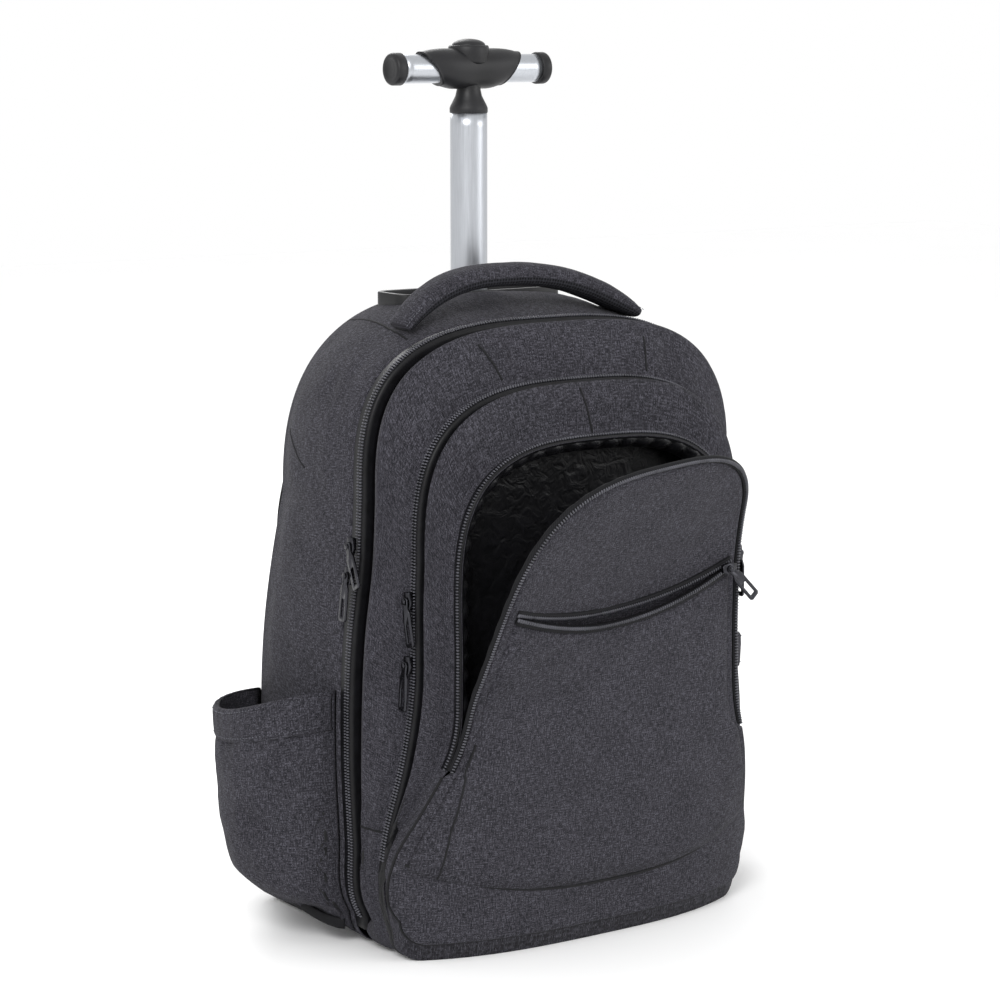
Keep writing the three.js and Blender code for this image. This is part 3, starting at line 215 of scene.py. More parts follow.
def grid_uv(grid, closed=False):
    """Length along the columns and rows of a grid, in millimetres, for each corner of its quads."""
    rows, columns = grid.shape[:2]
    ended = np.concatenate([grid, grid[:, :1]], 1) if closed else grid
    across = np.linalg.norm(np.diff(ended, axis=1), axis=2).mean(0)
    along = np.linalg.norm(np.diff(grid, axis=0), axis=2).mean(1)
    u = np.concatenate([[0], np.cumsum(across)])
    v = np.concatenate([[0], np.cumsum(along)])
    r, c = np.meshgrid(np.arange(rows - 1), np.arange(len(u) - 1), indexing="ij")
    r, c = r.ravel(), c.ravel()
    return np.stack([
        np.stack([u[c], v[r]], 1), np.stack([u[c + 1], v[r]], 1),
        np.stack([u[c + 1], v[r + 1]], 1), np.stack([u[c], v[r + 1]], 1)], 1)


def make_mesh(name, points, faces, uvs, materials, slots=None):
    """A smooth-shaded object at the origin from points in millimetres, with UVs in metres."""
    mesh = bpy.data.meshes.new(name)
    mesh.from_pydata(metres(points).tolist(), [], [list(map(int, face)) for face in faces])
    layer = mesh.uv_layers.new(name="UVMap")
    flat = np.concatenate([np.asarray(uv, float).reshape(-1, 2) for uv in uvs]) * MM
    layer.data.foreach_set("uv", flat.ravel().astype(np.float32))
    for material in materials:
        mesh.materials.append(material)
    if slots is not None:
        mesh.polygons.foreach_set("material_index", np.asarray(slots, np.int32))
    mesh.polygons.foreach_set("use_smooth", np.ones(len(faces), bool))
    mesh.update()
    turn_outwards(mesh)
    piece = bpy.data.objects.new(name, mesh)
    bpy.context.scene.collection.objects.link(piece)
    return piece


def turn_outwards(mesh):
    """Flips a closed mesh whose faces point inwards."""
    mesh.calc_loop_triangles()
    points = np.empty(len(mesh.vertices) * 3)
    mesh.vertices.foreach_get("co", points)
    points = points.reshape(-1, 3)
    points -= points.mean(0)
    corners = np.empty(len(mesh.loop_triangles) * 3, np.int32)
    mesh.loop_triangles.foreach_get("vertices", corners)
    a, b, c = (points[corners.reshape(-1, 3)[:, k]] for k in range(3))
    if np.einsum("ij,ij->i", a, np.cross(b, c)).sum() < 0:
        mesh.flip_normals()


def finished(piece, body, slot, *nodes):
    """Says what a piece moves with and which CAD nodes it stands for. Its slot, what it is made of, is not
    used.
    """
    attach(piece, body)
    if nodes:
        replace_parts(piece, *nodes)
    return piece


def slab(name, front, back, materials, closed=False, uv=None, slots=(0, 1, 0)):
    """Closed body between two grids of the same size. slots are the materials of the front face,
    the back face and the rim."""
    rows, columns = front.shape[:2]
    count = rows * columns
    face = surface(front, closed)
    points = np.concatenate([front.reshape(-1, 3), back.reshape(-1, 3)])
    uv_front = grid_uv(front, closed) if uv is None else uv.reshape(-1, 2)[face]
    faces = [face, face[:, ::-1] + count]
    uvs = [uv_front, uv_front[:, ::-1]]
    index = np.arange(count).reshape(rows, columns)
    runs = [index[0], index[-1][::-1]]
    if closed:
        runs = [np.append(run, run[0]) for run in runs]
    else:
        runs += [index[:, -1], index[:, 0][::-1]]
    for run in runs:
        a, b = run[:-1], run[1:]
        faces.append(np.stack([b, a, a + count, b + count], 1))
        length = np.cumsum(np.linalg.norm(points[b] - points[a], axis=1))
        start = np.concatenate([[0], length[:-1]])
        zero, wide = np.zeros(len(a)), np.full(len(a), 3.0)
        uvs.append(np.stack([
            np.stack([length, zero], 1), np.stack([start, zero], 1),
            np.stack([start, wide], 1), np.stack([length, wide], 1)], 1))
    which = [slots[0]] * len(face) + [slots[1]] * len(face)
    which += [slots[2]] * (sum(len(f) for f in faces) - 2 * len(face))
    return make_mesh(name, points, np.concatenate(faces), uvs, materials, which)


def capped(name, grid, materials, slots=None, uv=None):
    """Closed body from a grid of rings, each end closed by a fan to its centre. slots are the
    materials of the rows, or of each face of the grid."""
    rows, columns = grid.shape[:2]
    points = np.concatenate([grid.reshape(-1, 3), [grid[0].mean(0)], [grid[-1].mean(0)]])
    face = surface(grid, True)
    uvs = [grid_uv(grid, True) if uv is None else uv]
    faces = [list(f) for f in face]
    for middle, first in ((rows * columns, 0), (rows * columns + 1, (rows - 1) * columns)):
        c = np.arange(columns)
        d = (c + 1) % columns
        a, b = first + c, first + d
        ends = (b, a) if first == 0 else (a, b)
        fan = np.stack([np.full(columns, middle), *ends], 1)
        faces += [list(f) for f in fan]
        uvs.append(points[:, [0, 2]][fan])
    which = None
    if slots is not None:
        slots = np.asarray(slots)
        slots = np.repeat(slots[:, None], columns, 1) if slots.ndim == 1 else slots
        which = np.concatenate([slots.ravel(), np.repeat([slots[0, 0], slots[-1, 0]], columns)])
    return make_mesh(name, points, faces, uvs, materials, which)


def turned(profile, count):
    """Grid of a profile of radius and height rows turned about the Z axis."""
    angle = np.linspace(0, 2 * math.pi, count, endpoint=False)
    radius, height = np.asarray(profile, float).T
    return np.stack([
        radius[:, None] * np.cos(angle), radius[:, None] * np.sin(angle),
        np.repeat(height[:, None], count, 1)], 2)


def oval(half_across, half_up, square, count):
    """Profile of a rounded section, from an ellipse at 2 to nearly a rectangle at high values."""
    angle = 2 * math.pi * (np.arange(count) + 0.5) / count
    c, s = np.cos(angle), np.sin(angle)
    return np.stack([
        half_across * np.sign(c) * np.abs(c) ** (2 / square),
        half_up * np.sign(s) * np.abs(s) ** (2 / square)], 1)


def swept(path, across, up, profiles):
    """Grid of a profile carried along a path. across and up are the profile's directions there."""
    profiles = np.broadcast_to(profiles, (len(path),) + np.shape(profiles)[-2:])
    return (path[:, None] + across[:, None] * profiles[:, :, :1] + up[:, None] * profiles[:, :, 1:])


def tangents(path, closed=False):
    step = np.roll(path, -1, 0) - np.roll(path, 1, 0) if closed else np.gradient(path, axis=0)
    return step / np.linalg.norm(step, axis=1, keepdims=True)


def unit(vectors):
    vectors = np.asarray(vectors, float)
    return vectors / np.linalg.norm(vectors, axis=-1, keepdims=True)


def catmull(rows, count):
    """Points at equal distances on a smooth curve through the rows, both ends included."""
    rows = np.asarray(rows, float)
    padded = np.concatenate([[2 * rows[0] - rows[1]], rows, [2 * rows[-1] - rows[-2]]])
    fine = []
    for k in range(len(rows) - 1):
        p0, p1, p2, p3 = padded[k:k + 4]
        for t in np.linspace(0, 1, 40, endpoint=False):
            fine.append(0.5 * (2 * p1 + (p2 - p0) * t + (2 * p0 - 5 * p1 + 4 * p2 - p3) * t**2
                               + (3 * p1 - p0 - 3 * p2 + p3) * t**3))
    fine.append(rows[-1])
    return np.concatenate([evenly(np.array(fine), count - 1), [rows[-1]]])


def grid_normals(grid, closed=False):
    """Directions at right angles to a grid's surface."""
    if closed:
        across = np.roll(grid, -1, 1) - np.roll(grid, 1, 1)
    else:
        across = np.gradient(grid, axis=1)
    return unit(np.cross(across, np.gradient(grid, axis=0)) + 1e-9)


def wavering(points, size, seed):
    """Slow random values from -1 to 1 at points, with a feature size in millimetres."""
    offset = Vector((seed * 17.3, seed * 5.1, seed * 9.7))
    flat = points.reshape(-1, 3) / size
    return np.array([noise.noise(Vector(p) + offset) for p in flat]).reshape(points.shape[:-1])


def settled(grid, pinned, closed=False, slack=0.02, pressure=3.0, cap=4.0, frames=18):
    """The grid after a cloth simulation: cut a little too large, blown out, and held where pinned.
    No point moves further than cap."""
    scene = bpy.context.scene
    faces = surface(grid, closed)
    mesh = bpy.data.meshes.new("settling")
    mesh.from_pydata((grid.reshape(-1, 3) * MM).tolist(), [], faces.tolist())
    piece = bpy.data.objects.new("settling", mesh)
    scene.collection.objects.link(piece)
    group = piece.vertex_groups.new(name="held")
    group.add(np.flatnonzero(pinned.ravel()).tolist(), 1.0, "REPLACE")
    cloth = piece.modifiers.new("settling", "CLOTH")
    values = cloth.settings
    values.quality = 6
    values.mass = 0.05
    values.tension_stiffness = values.compression_stiffness = values.shear_stiffness = 12
    values.bending_stiffness = 0.6
    values.vertex_group_mass = "held"
    values.shrink_min = -slack
    values.use_pressure = True
    values.uniform_pressure_force = pressure
    values.effector_weights.gravity = 0
    cloth.collision_settings.use_collision = False
    cloth.point_cache.frame_start, cloth.point_cache.frame_end = 1, frames
    for frame_number in range(1, frames + 1):
        scene.frame_set(frame_number)
    done = piece.evaluated_get(bpy.context.evaluated_depsgraph_get()).to_mesh()
    moved = np.empty(len(done.vertices) * 3)
    done.vertices.foreach_get("co", moved)
    bpy.data.objects.remove(piece)
    bpy.data.meshes.remove(mesh)
    scene.frame_set(1)
    step = moved.reshape(grid.shape) / MM - grid
    length = np.linalg.norm(step, axis=2, keepdims=True)
    return grid + step * np.minimum(1, cap / np.maximum(length, 1e-9))


# Finishes


def linear(hex_colour):
    """Linear colour of an sRGB hex value."""
    shares = [int(hex_colour[i:i + 2], 16) / 255 for i in (1, 3, 5)]
    return tuple(s / 12.92 if s <= 0.04045 else ((s + 0.055) / 1.055) ** 2.4 for s in shares) + (1.0,)


def add_node(tree, kind, links=None, **settings):
    """Adds a node with its settings, and its inputs from sockets or plain values."""
    made = tree.nodes.new(kind)
    for name, value in settings.items():
        setattr(made, name, value)
    for socket, value in (links or {}).items():
        if isinstance(value, bpy.types.NodeSocket):
            tree.links.new(value, made.inputs[socket])
        else:
            made.inputs[socket].default_value = value
    return made


def new_finish(name, **sockets):
    """A material with a Principled shader whose plain values are set on its own sockets."""
    material = bpy.data.materials.new(name)
    material.use_nodes = True
    tree = material.node_tree
    shader = tree.nodes["Principled BSDF"]
    for socket, value in sockets.items():
        shader.inputs[socket.replace("_", " ")].default_value = value
    return material, tree, shader


def uv_in_mm(tree):
    uv = add_node(tree, "ShaderNodeUVMap", uv_map="UVMap")
    return add_node(tree, "ShaderNodeVectorMath", {0: uv.outputs[0], 1: (1 / MM,) * 3}, operation="MULTIPLY")


def place_in_mm(tree):
    place = add_node(tree, "ShaderNodeTexCoord")
    return add_node(tree, "ShaderNodeVectorMath", {0: place.outputs["Object"], 1: (1 / MM,) * 3},
                    operation="MULTIPLY")


def ramp(tree, value, stops):
    """Colour ramp with stops of position and linear colour."""
    made = add_node(tree, "ShaderNodeValToRGB", {0: value})
    elements = made.color_ramp.elements
    while len(elements) < len(stops):
        elements.new(0.5)
    for element, (position, colour) in zip(elements, stops):
        element.position = position
        element.color = colour
    return made.outputs[0]


def heather_weave():
    """Plain woven polyester of dark and pale yarns, which gives a grey with short flecks both ways.
    The real yarns lie 0.5 mm apart; they are drawn 1 mm apart so that they show."""
    settings = bpy.context.scene.backpack_fabric
    material, tree, shader = new_finish(
        "heather_polyester_weave", Roughness=0.92, Sheen_Weight=0.03, Sheen_Roughness=0.5,
        Specular_IOR_Level=0.1)
    uv = uv_in_mm(tree)
    pitch = settings.yarn_pitch / MM
    flecks = []
    for along, across in ((4.2, pitch), (pitch, 4.8)):
        scaled = add_node(tree, "ShaderNodeVectorMath", {0: uv.outputs[0], 1: (1 / along, 1 / across, 1)},
                          operation="MULTIPLY")
        flecks.append(add_node(tree, "ShaderNodeTexNoise", {
            "Vector": scaled.outputs[0], "Scale": 1.0, "Detail": 2.0, "Roughness": 0.6}).outputs[0])
    turned_uv = add_node(tree, "ShaderNodeVectorMath", {0: uv.outputs[0], 1: (math.pi / pitch,) * 3},
                         operation="MULTIPLY")
    parts = add_node(tree, "ShaderNodeSeparateXYZ", {0: turned_uv.outputs[0]})
    waves = [add_node(tree, "ShaderNodeMath", {0: parts.outputs[k]}, operation="SINE").outputs[0]
             for k in (0, 1)]
    over = add_node(tree, "ShaderNodeMath", {0: waves[0], 1: waves[1]}, operation="MULTIPLY")
    which = add_node(tree, "ShaderNodeMath", {0: over.outputs[0], 1: 0.0}, operation="GREATER_THAN")
    fleck = add_node(tree, "ShaderNodeMix", {
        "Factor": which.outputs[0], "A": flecks[0], "B": flecks[1]}, data_type="FLOAT")
    broad = add_node(tree, "ShaderNodeTexNoise", {"Vector": uv.outputs[0], "Scale": 0.035, "Detail": 3.0})
    mixed = add_node(tree, "ShaderNodeMath", {0: broad.outputs[0], 1: 0.1, 2: fleck.outputs[0]},
                     operation="MULTIPLY_ADD")
    colour = ramp(tree, mixed.outputs[0], [
        (0.4, tuple(settings.dark_yarn)), (0.55, tuple(settings.middle_yarn)),
        (0.74, tuple(settings.pale_yarn))])
    tree.links.new(colour, shader.inputs["Base Color"])
    height = add_node(tree, "ShaderNodeMath", {0: over.outputs[0]}, operation="ABSOLUTE")
    grain = add_node(tree, "ShaderNodeMath", {0: fleck.outputs[0], 1: 0.6, 2: height.outputs[0]},
                     operation="MULTIPLY_ADD")
    bump = add_node(tree, "ShaderNodeBump", {"Strength": 0.5, "Distance": 0.3 * MM,
                                             "Height": grain.outputs[0]})
    tree.links.new(bump.outputs[0], shader.inputs["Normal"])
    return material


def woven_tape():
    """Black nylon tape of a zip or binding, woven in a fine herringbone that gives a soft line."""
    material, tree, shader = new_finish(
        "black_nylon_tape", Roughness=0.7, Specular_IOR_Level=0.15)
    uv = uv_in_mm(tree)
    wave = add_node(tree, "ShaderNodeTexWave", {
        "Vector": uv.outputs[0], "Scale": 0.32, "Distortion": 0.6, "Detail": 1.0}, bands_direction="DIAGONAL")
    colour = ramp(tree, wave.outputs[1], [(0.0, linear("#0d0d0f")), (1.0, linear("#19191c"))])
    tree.links.new(colour, shader.inputs["Base Color"])
    bump = add_node(tree, "ShaderNodeBump", {"Strength": 0.4, "Distance": 0.2 * MM,
                                             "Height": wave.outputs[1]})
    tree.links.new(bump.outputs[0], shader.inputs["Normal"])
    return material


def satin_strip():
    """Black coated strip along the zips, calendered smooth, which gives a broad dull shine."""
    material, tree, shader = new_finish("black_coated_satin", Roughness=0.45, Specular_IOR_Level=0.2)
    uv = uv_in_mm(tree)
    creases = add_node(tree, "ShaderNodeTexNoise", {"Vector": uv.outputs[0], "Scale": 0.12, "Detail": 3.0})
    colour = ramp(tree, creases.outputs[0], [(0.3, linear("#0a0a0c")), (0.7, linear("#131316"))])
    tree.links.new(colour, shader.inputs["Base Color"])
    bump = add_node(tree, "ShaderNodeBump", {"Strength": 0.35, "Distance": 0.8 * MM,
                                             "Height": creases.outputs[0]})
    tree.links.new(bump.outputs[0], shader.inputs["Normal"])
    return material


def taffeta_lining():
    """Black polyester taffeta of the lining, woven tight and crumpled, which gives bright creases."""
    material, tree, shader = new_finish("black_taffeta_lining", Roughness=0.42, Specular_IOR_Level=0.3)
    uv = uv_in_mm(tree)
    creases = add_node(tree, "ShaderNodeTexNoise", {
        "Vector": uv.outputs[0], "Scale": 0.09, "Detail": 4.0, "Distortion": 1.2})
    colour = ramp(tree, creases.outputs[0], [(0.3, linear("#0a0a0c")), (0.75, linear("#161619"))])
    tree.links.new(colour, shader.inputs["Base Color"])
    bump = add_node(tree, "ShaderNodeBump", {"Strength": 0.7, "Distance": 2.5 * MM,
                                             "Height": creases.outputs[0]})
    tree.links.new(bump.outputs[0], shader.inputs["Normal"])
    return material


def spacer_mesh():
    """Black knitted air mesh over foam: rows of small round holes, which give a dotted matt look."""
    material, tree, shader = new_finish("black_air_mesh", Roughness=0.9, Specular_IOR_Level=0.15)
    uv = uv_in_mm(tree)
    hole_pitch = 2.6
    cells = add_node(tree, "ShaderNodeTexVoronoi", {
        "Vector": uv.outputs[0], "Scale": 1 / hole_pitch, "Randomness": 0.18}, feature="F1")
    colour = ramp(tree, cells.outputs["Distance"], [
        (0.18, linear("#0c0c0e")), (0.34, linear("#222226")), (0.6, linear("#2e2e33"))])
    tree.links.new(colour, shader.inputs["Base Color"])
    bump = add_node(tree, "ShaderNodeBump", {"Strength": 0.9, "Distance": 0.9 * MM,
                                             "Height": cells.outputs["Distance"]})
    tree.links.new(bump.outputs[0], shader.inputs["Normal"])
    return material


def moulded_finish(name, dark, pale, roughness, grain_mm, depth_mm):
    """A moulded surface with a spark-eroded grain on Object coordinates."""
    material, tree, shader = new_finish(name, Roughness=roughness, Specular_IOR_Level=0.35)
    place = place_in_mm(tree)
    grain = add_node(tree, "ShaderNodeTexNoise", {
        "Vector": place.outputs[0], "Scale": 1 / grain_mm, "Detail": 3.0, "Roughness": 0.6})
    wear = add_node(tree, "ShaderNodeTexNoise", {"Vector": place.outputs[0], "Scale": 0.03, "Detail": 4.0})
    both = add_node(tree, "ShaderNodeMath", {0: grain.outputs[0], 1: 0.4, 2: wear.outputs[0]},
                    operation="MULTIPLY_ADD")
    colour = ramp(tree, both.outputs[0], [(0.5, linear(dark)), (0.95, linear(pale))])
    tree.links.new(colour, shader.inputs["Base Color"])
    rough = add_node(tree, "ShaderNodeMapRange", {
        "Value": wear.outputs[0], "From Min": 0.3, "From Max": 0.7,
        "To Min": roughness - 0.06, "To Max": roughness + 0.08})
    tree.links.new(rough.outputs[0], shader.inputs["Roughness"])
    bump = add_node(tree, "ShaderNodeBump", {"Strength": 0.5, "Distance": depth_mm * MM,
                                             "Height": grain.outputs[0]})
    tree.links.new(bump.outputs[0], shader.inputs["Normal"])
    return material


def moulded_abs():
    """Black ABS, injection moulded with a fine grain, which gives a grey-black with a dull edge."""
    return moulded_finish("black_moulded_abs", "#0d0d0f", "#18181b", 0.46, 1.2, 0.12)


def coil_with_painted_glints():
    """Black nylon monofilament of the coil teeth, drawn smooth. Its mid grey is a painted highlight, far
    paler than the black teeth, which gives a row of bright points.
    """
    return moulded_finish("coil_painted_glints", "#38383d", "#58585f", 0.28, 0.8, 0.02)


def tread_rubber():
    """Grey-black thermoplastic rubber of the wheels, moulded plain, which gives a matt surface."""
    return moulded_finish("wheel_rubber", "#1c1c1d", "#303032", 0.72, 0.9, 0.1)


def sewing_thread():
    """Grey polyester thread of the seams, twisted, which gives short matt dashes."""
    return moulded_finish("grey_sewing_thread", "#45464c", "#6a6b73", 0.8, 0.5, 0.05)


def painted_seam_shade_and_piping():
    """Near-black matt line of the seams: painted shade of each seam's groove, and the real black woven piping
    at the front's foot.
    """
    return moulded_finish("painted_seam_shade_and_black_piping", "#0d0d0f", "#19191c", 0.9, 0.8, 0.05)


def brushed_metal(name, colour_hex, roughness, streak, axis_scale):
    """A metal with fine streaks along one direction, on Object coordinates."""
    material, tree, shader = new_finish(name, Metallic=1.0, Roughness=roughness)
    place = place_in_mm(tree)
    stretched = add_node(tree, "ShaderNodeVectorMath", {0: place.outputs[0], 1: axis_scale},
                         operation="MULTIPLY")
    streaks = add_node(tree, "ShaderNodeTexNoise", {
        "Vector": stretched.outputs[0], "Scale": 1.0, "Detail": 3.0, "Roughness": 0.7})
    shades = [tuple(c * k for c in linear(colour_hex)[:3]) + (1,) for k in (0.86, 1.08)]
    colour = ramp(tree, streaks.outputs[0], [(0.3, shades[0]), (0.7, shades[1])])
    tree.links.new(colour, shader.inputs["Base Color"])
    rough = add_node(tree, "ShaderNodeMapRange", {
        "Value": streaks.outputs[0], "From Min": 0.3, "From Max": 0.7,
        "To Min": roughness - streak, "To Max": roughness + streak})
    tree.links.new(rough.outputs[0], shader.inputs["Roughness"])
    return material


def drawn_aluminium():
    """Anodised aluminium tube, drawn and satin etched, which gives pale grey with faint long streaks."""
    return brushed_metal("satin_anodised_aluminium", "#b7babf", 0.34, 0.06, (2.2, 2.2, 0.03))


def plated_zinc():
    """Zinc alloy of the sliders and tabs, cast, tumbled and plated black, which gives a dark gloss."""
    return brushed_metal("black_plated_zinc", "#3a3a3e", 0.3, 0.08, (0.8, 0.8, 0.8))


FINISHES = {
    "heather": heather_weave, "tape": woven_tape, "strip": satin_strip, "lining": taffeta_lining,
    "mesh": spacer_mesh, "abs": moulded_abs, "coil": coil_with_painted_glints, "rubber": tread_rubber,
    "thread": sewing_thread, "seam_shade_and_piping": painted_seam_shade_and_piping, "aluminium": drawn_aluminium, "zinc": plated_zinc,
}
made_finishes = {}


def finish(name):
    """The material of a finish, made on first use."""
    if name not in made_finishes:
        made_finishes[name] = FINISHES[name]()
    return made_finishes[name]


# Rows of small pieces


def row_tree():
    """Geometry Nodes tree that sets a rounded piece at equal distances along a line."""
    tree = bpy.data.node_groups.new("row_along_line", "GeometryNodeTree")
    sockets = tree.interface
    sockets.new_socket("Geometry", in_out="INPUT", socket_type="NodeSocketGeometry")
    spacing = sockets.new_socket("Spacing", in_out="INPUT", socket_type="NodeSocketFloat")
    size = sockets.new_socket("Piece Size", in_out="INPUT", socket_type="NodeSocketVector")
    material = sockets.new_socket("Material", in_out="INPUT", socket_type="NodeSocketMaterial")
    sockets.new_socket("Geometry", in_out="OUTPUT", socket_type="NodeSocketGeometry")
    given = add_node(tree, "NodeGroupInput")
    line = add_node(tree, "GeometryNodeMeshToCurve", {"Mesh": given.outputs["Geometry"]})
    even = add_node(tree, "GeometryNodeResampleCurve", {
        "Curve": line.outputs["Curve"], "Length": given.outputs["Spacing"]}, mode="LENGTH")
    out = add_node(tree, "GeometryNodeInputNamedAttribute", {"Name": "outwards"}, data_type="FLOAT_VECTOR")
    along = add_node(tree, "GeometryNodeInputTangent")
    turn = add_node(tree, "FunctionNodeAxesToRotation", {
        "Primary Axis": out.outputs["Attribute"], "Secondary Axis": along.outputs["Tangent"]},
        primary_axis="Z", secondary_axis="X")
    bead = add_node(tree, "GeometryNodeMeshUVSphere", {"Segments": 6, "Rings": 4, "Radius": 0.5})
    rows = add_node(tree, "GeometryNodeInstanceOnPoints", {
        "Points": even.outputs["Curve"], "Instance": bead.outputs["Mesh"],
        "Rotation": turn.outputs["Rotation"], "Scale": given.outputs["Piece Size"]})
    real = add_node(tree, "GeometryNodeRealizeInstances", {"Geometry": rows.outputs["Instances"]})
    painted = add_node(tree, "GeometryNodeSetMaterial", {
        "Geometry": real.outputs["Geometry"], "Material": given.outputs["Material"]})
    add_node(tree, "NodeGroupOutput", {"Geometry": painted.outputs["Geometry"]})
    return tree, spacing.identifier, size.identifier, material.identifier


def row_of(name, lines, spacing, size, material_name, body, slot):
    """Small rounded pieces in a row along each line. A line is its points and the directions that
    the pieces stand out in; size is along, across and out, in millimetres."""
    points = np.concatenate([line for line, _ in lines])
    outs = np.concatenate([out for _, out in lines])
    edges, start = [], 0
    for line, _ in lines:
        edges += [(k, k + 1) for k in range(start, start + len(line) - 1)]
        start += len(line)
    mesh = bpy.data.meshes.new(name)
    mesh.from_pydata(metres(points).tolist(), edges, [])
    stored = mesh.attributes.new("outwards", "FLOAT_VECTOR", "POINT")
    stored.data.foreach_set("vector", outs.astype(np.float32).ravel())
    piece = bpy.data.objects.new(name, mesh)
    bpy.context.scene.collection.objects.link(piece)
    tree = row_of.tree = getattr(row_of, "tree", None) or row_tree()
    modifier = piece.modifiers.new("row", "NODES")
    modifier.node_group = tree[0]
    modifier[tree[1]] = spacing * MM
    modifier[tree[2]] = tuple(s * MM for s in size)
    modifier[tree[3]] = finish(material_name)
    evaluated = piece.evaluated_get(bpy.context.evaluated_depsgraph_get())
    made = bpy.data.meshes.new_from_object(evaluated)
    piece.modifiers.remove(modifier)
    piece.data = made
    made.name = name
    made.polygons.foreach_set("use_smooth", np.ones(len(made.polygons), bool))
    if not len(made.polygons):
        raise RuntimeError("the row " + name + " came out empty")
    return finished(piece, body, slot)


def softened(name, node, width, segments, material_name, body, slot):
    """A copy of a hard CAD solid with its edges rounded, in place of the node."""
    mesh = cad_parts[node].data.copy()
    mesh.name = name
    work = bmesh.new()
    work.from_mesh(mesh)
    bmesh.ops.remove_doubles(work, verts=work.verts, dist=0.01 * MM)
    bmesh.ops.dissolve_limit(work, angle_limit=math.radians(1.0), verts=work.verts, edges=work.edges)
    work.to_mesh(mesh)
    work.free()
    mesh.materials.clear()
    mesh.materials.append(finish(material_name))
    piece = bpy.data.objects.new(name, mesh)
    bpy.context.scene.collection.objects.link(piece)
    bevel = piece.modifiers.new("edges", "BEVEL")
    bevel.width = width * MM
    bevel.segments = segments
    bevel.limit_method = "ANGLE"
    bevel.angle_limit = math.radians(32)
    bevel.use_clamp_overlap = True
    bevel.harden_normals = True
    made = bpy.data.meshes.new_from_object(piece.evaluated_get(bpy.context.evaluated_depsgraph_get()))
    piece.modifiers.remove(bevel)
    piece.data = made
    made.name = name
    made.polygons.foreach_set("use_smooth", np.ones(len(made.polygons), bool))
    return finished(piece, body, slot, node)


def cut_away(piece, tool_points, tool_faces):
    """Cuts a convex block or profile out of a closed piece."""
    mesh = bpy.data.meshes.new("cutting")
    mesh.from_pydata(metres(tool_points).tolist(), [], tool_faces)
    turn_outwards(mesh)
    for material in piece.data.materials:
        mesh.materials.append(material)
    tool = bpy.data.objects.new("cutting", mesh)
    bpy.context.scene.collection.objects.link(tool)
    cutting = piece.modifiers.new("cutting", "BOOLEAN")
    cutting.operation = "DIFFERENCE"
    cutting.solver = "EXACT"
    cutting.object = tool
    made = bpy.data.meshes.new_from_object(piece.evaluated_get(bpy.context.evaluated_depsgraph_get()))
    piece.modifiers.remove(cutting)
    old = piece.data
    piece.data = made
    made.name = piece.name
    bpy.data.objects.remove(tool)
    bpy.data.meshes.remove(mesh)
    bpy.data.meshes.remove(old)


# Compartments: rows run from the back wall to the mouth, each row a closed ring

FABRIC = 3.0
EDGE_ROUND = 10.0
PUFF_FROM, PUFF_TO = 0.0, 60.0
TAPE_HALF = 6.0
STRIP_WIDE = 10.5
STRIP_DEPTH = -5.2
FLANGE = 11.0
RIM_INSET = 2.4
GAP = 0.3
TOE = Section(FRONT.y, FRONT.half, FRONT.top, 0, FRONT.corner, FRONT.square, FRONT.bow,
              FRONT.zip_foot,
              [(0.1, 0.99), (0.2, 0.99), (0.31, 0.9), (0.44, 0.785), (0.56, 0.77), (0.693, 0.772)])


def shrunk(points, share, dish):
    """A ring drawn towards its middle, for the back walls."""
    middle = points.mean(0)
    drawn = middle + (points - middle) * share
    drawn[:, 1] = points[:, 1] - dish * (1 - share)
    return drawn


def zip_mask(section, points):
    """1 along a section's zip, 0 below its foot."""
    return smooth(points[:, 2], section.zip_foot - 8, section.zip_foot + 4)


def swelling(points, amount):
    return drawn_in(points, -amount * smooth(points[:, 2], PUFF_FROM, PUFF_TO))


def tucked_end(section, edge):
    """Rows where a wall turns in under the rear edge of a zip's tape."""
    rows = []
    for behind, inset in ((edge + 3, 0.2), (edge + 1, 0.9), (edge, 2.4), (edge - 1.5, 3.4)):
        points = ring(section, behind)
        rows.append(drawn_in(points, inset * zip_mask(section, points)))
    return rows


def wall_between(start, end, amount, steps, fullness):
    """Rows of a padded wall between two rings, swollen most at its middle."""
    return [swelling(lerp(start, end, t), amount * math.sin(math.pi * t) ** fullness)
            for t in np.linspace(0, 1, steps + 2)[1:-1]]


def rear_rows():
    edge = ring(BACK, 0, EDGE_ROUND)
    rows = [shrunk(edge, share, 1.5) for share in (0.02, 0.3, 0.6, 0.85)]
    for k in range(6):
        angle = k / 5 * math.pi / 2
        rows.append(ring(BACK, -EDGE_ROUND * (1 - math.cos(angle)), EDGE_ROUND * (1 - math.sin(angle))))
    end = tucked_end(ZIP_1, FLANGE)
    return rows + wall_between(rows[-1], end[0], 7, 18, 0.8) + end


def stepped_start(section, following, end):
    """Rows where a wall comes out round the strip in front of a zip. It takes half of the depth
    that is left before the wall's end, and is sampled at the following section's heights."""
    section, foot = copy.copy(section), section.zip_foot
    section.zip_foot = following.zip_foot
    reach = (ring(section)[:, 1] - ring(following)[:, 1] + STRIP_DEPTH - end) / 2
    rows = []
    for share, inset in ((-0.06, STRIP_WIDE + 2), (0, STRIP_WIDE), (0.15, STRIP_WIDE - 1.2),
                         (0.36, STRIP_WIDE - 3.5), (0.63, STRIP_WIDE - 6.9), (1, STRIP_WIDE - 9.5)):
        points = ring(section, STRIP_DEPTH - share * reach)
        rows.append(drawn_in(points, inset * smooth(points[:, 2], foot - 8, foot + 4)))
    return rows


def middle_rows():
    start = stepped_start(ZIP_1, ZIP_2, TAPE_HALF + 2)
    end = tucked_end(ZIP_2, TAPE_HALF - 1)
    return start + wall_between(start[-1], end[0], 5, 12, 0.7) + end


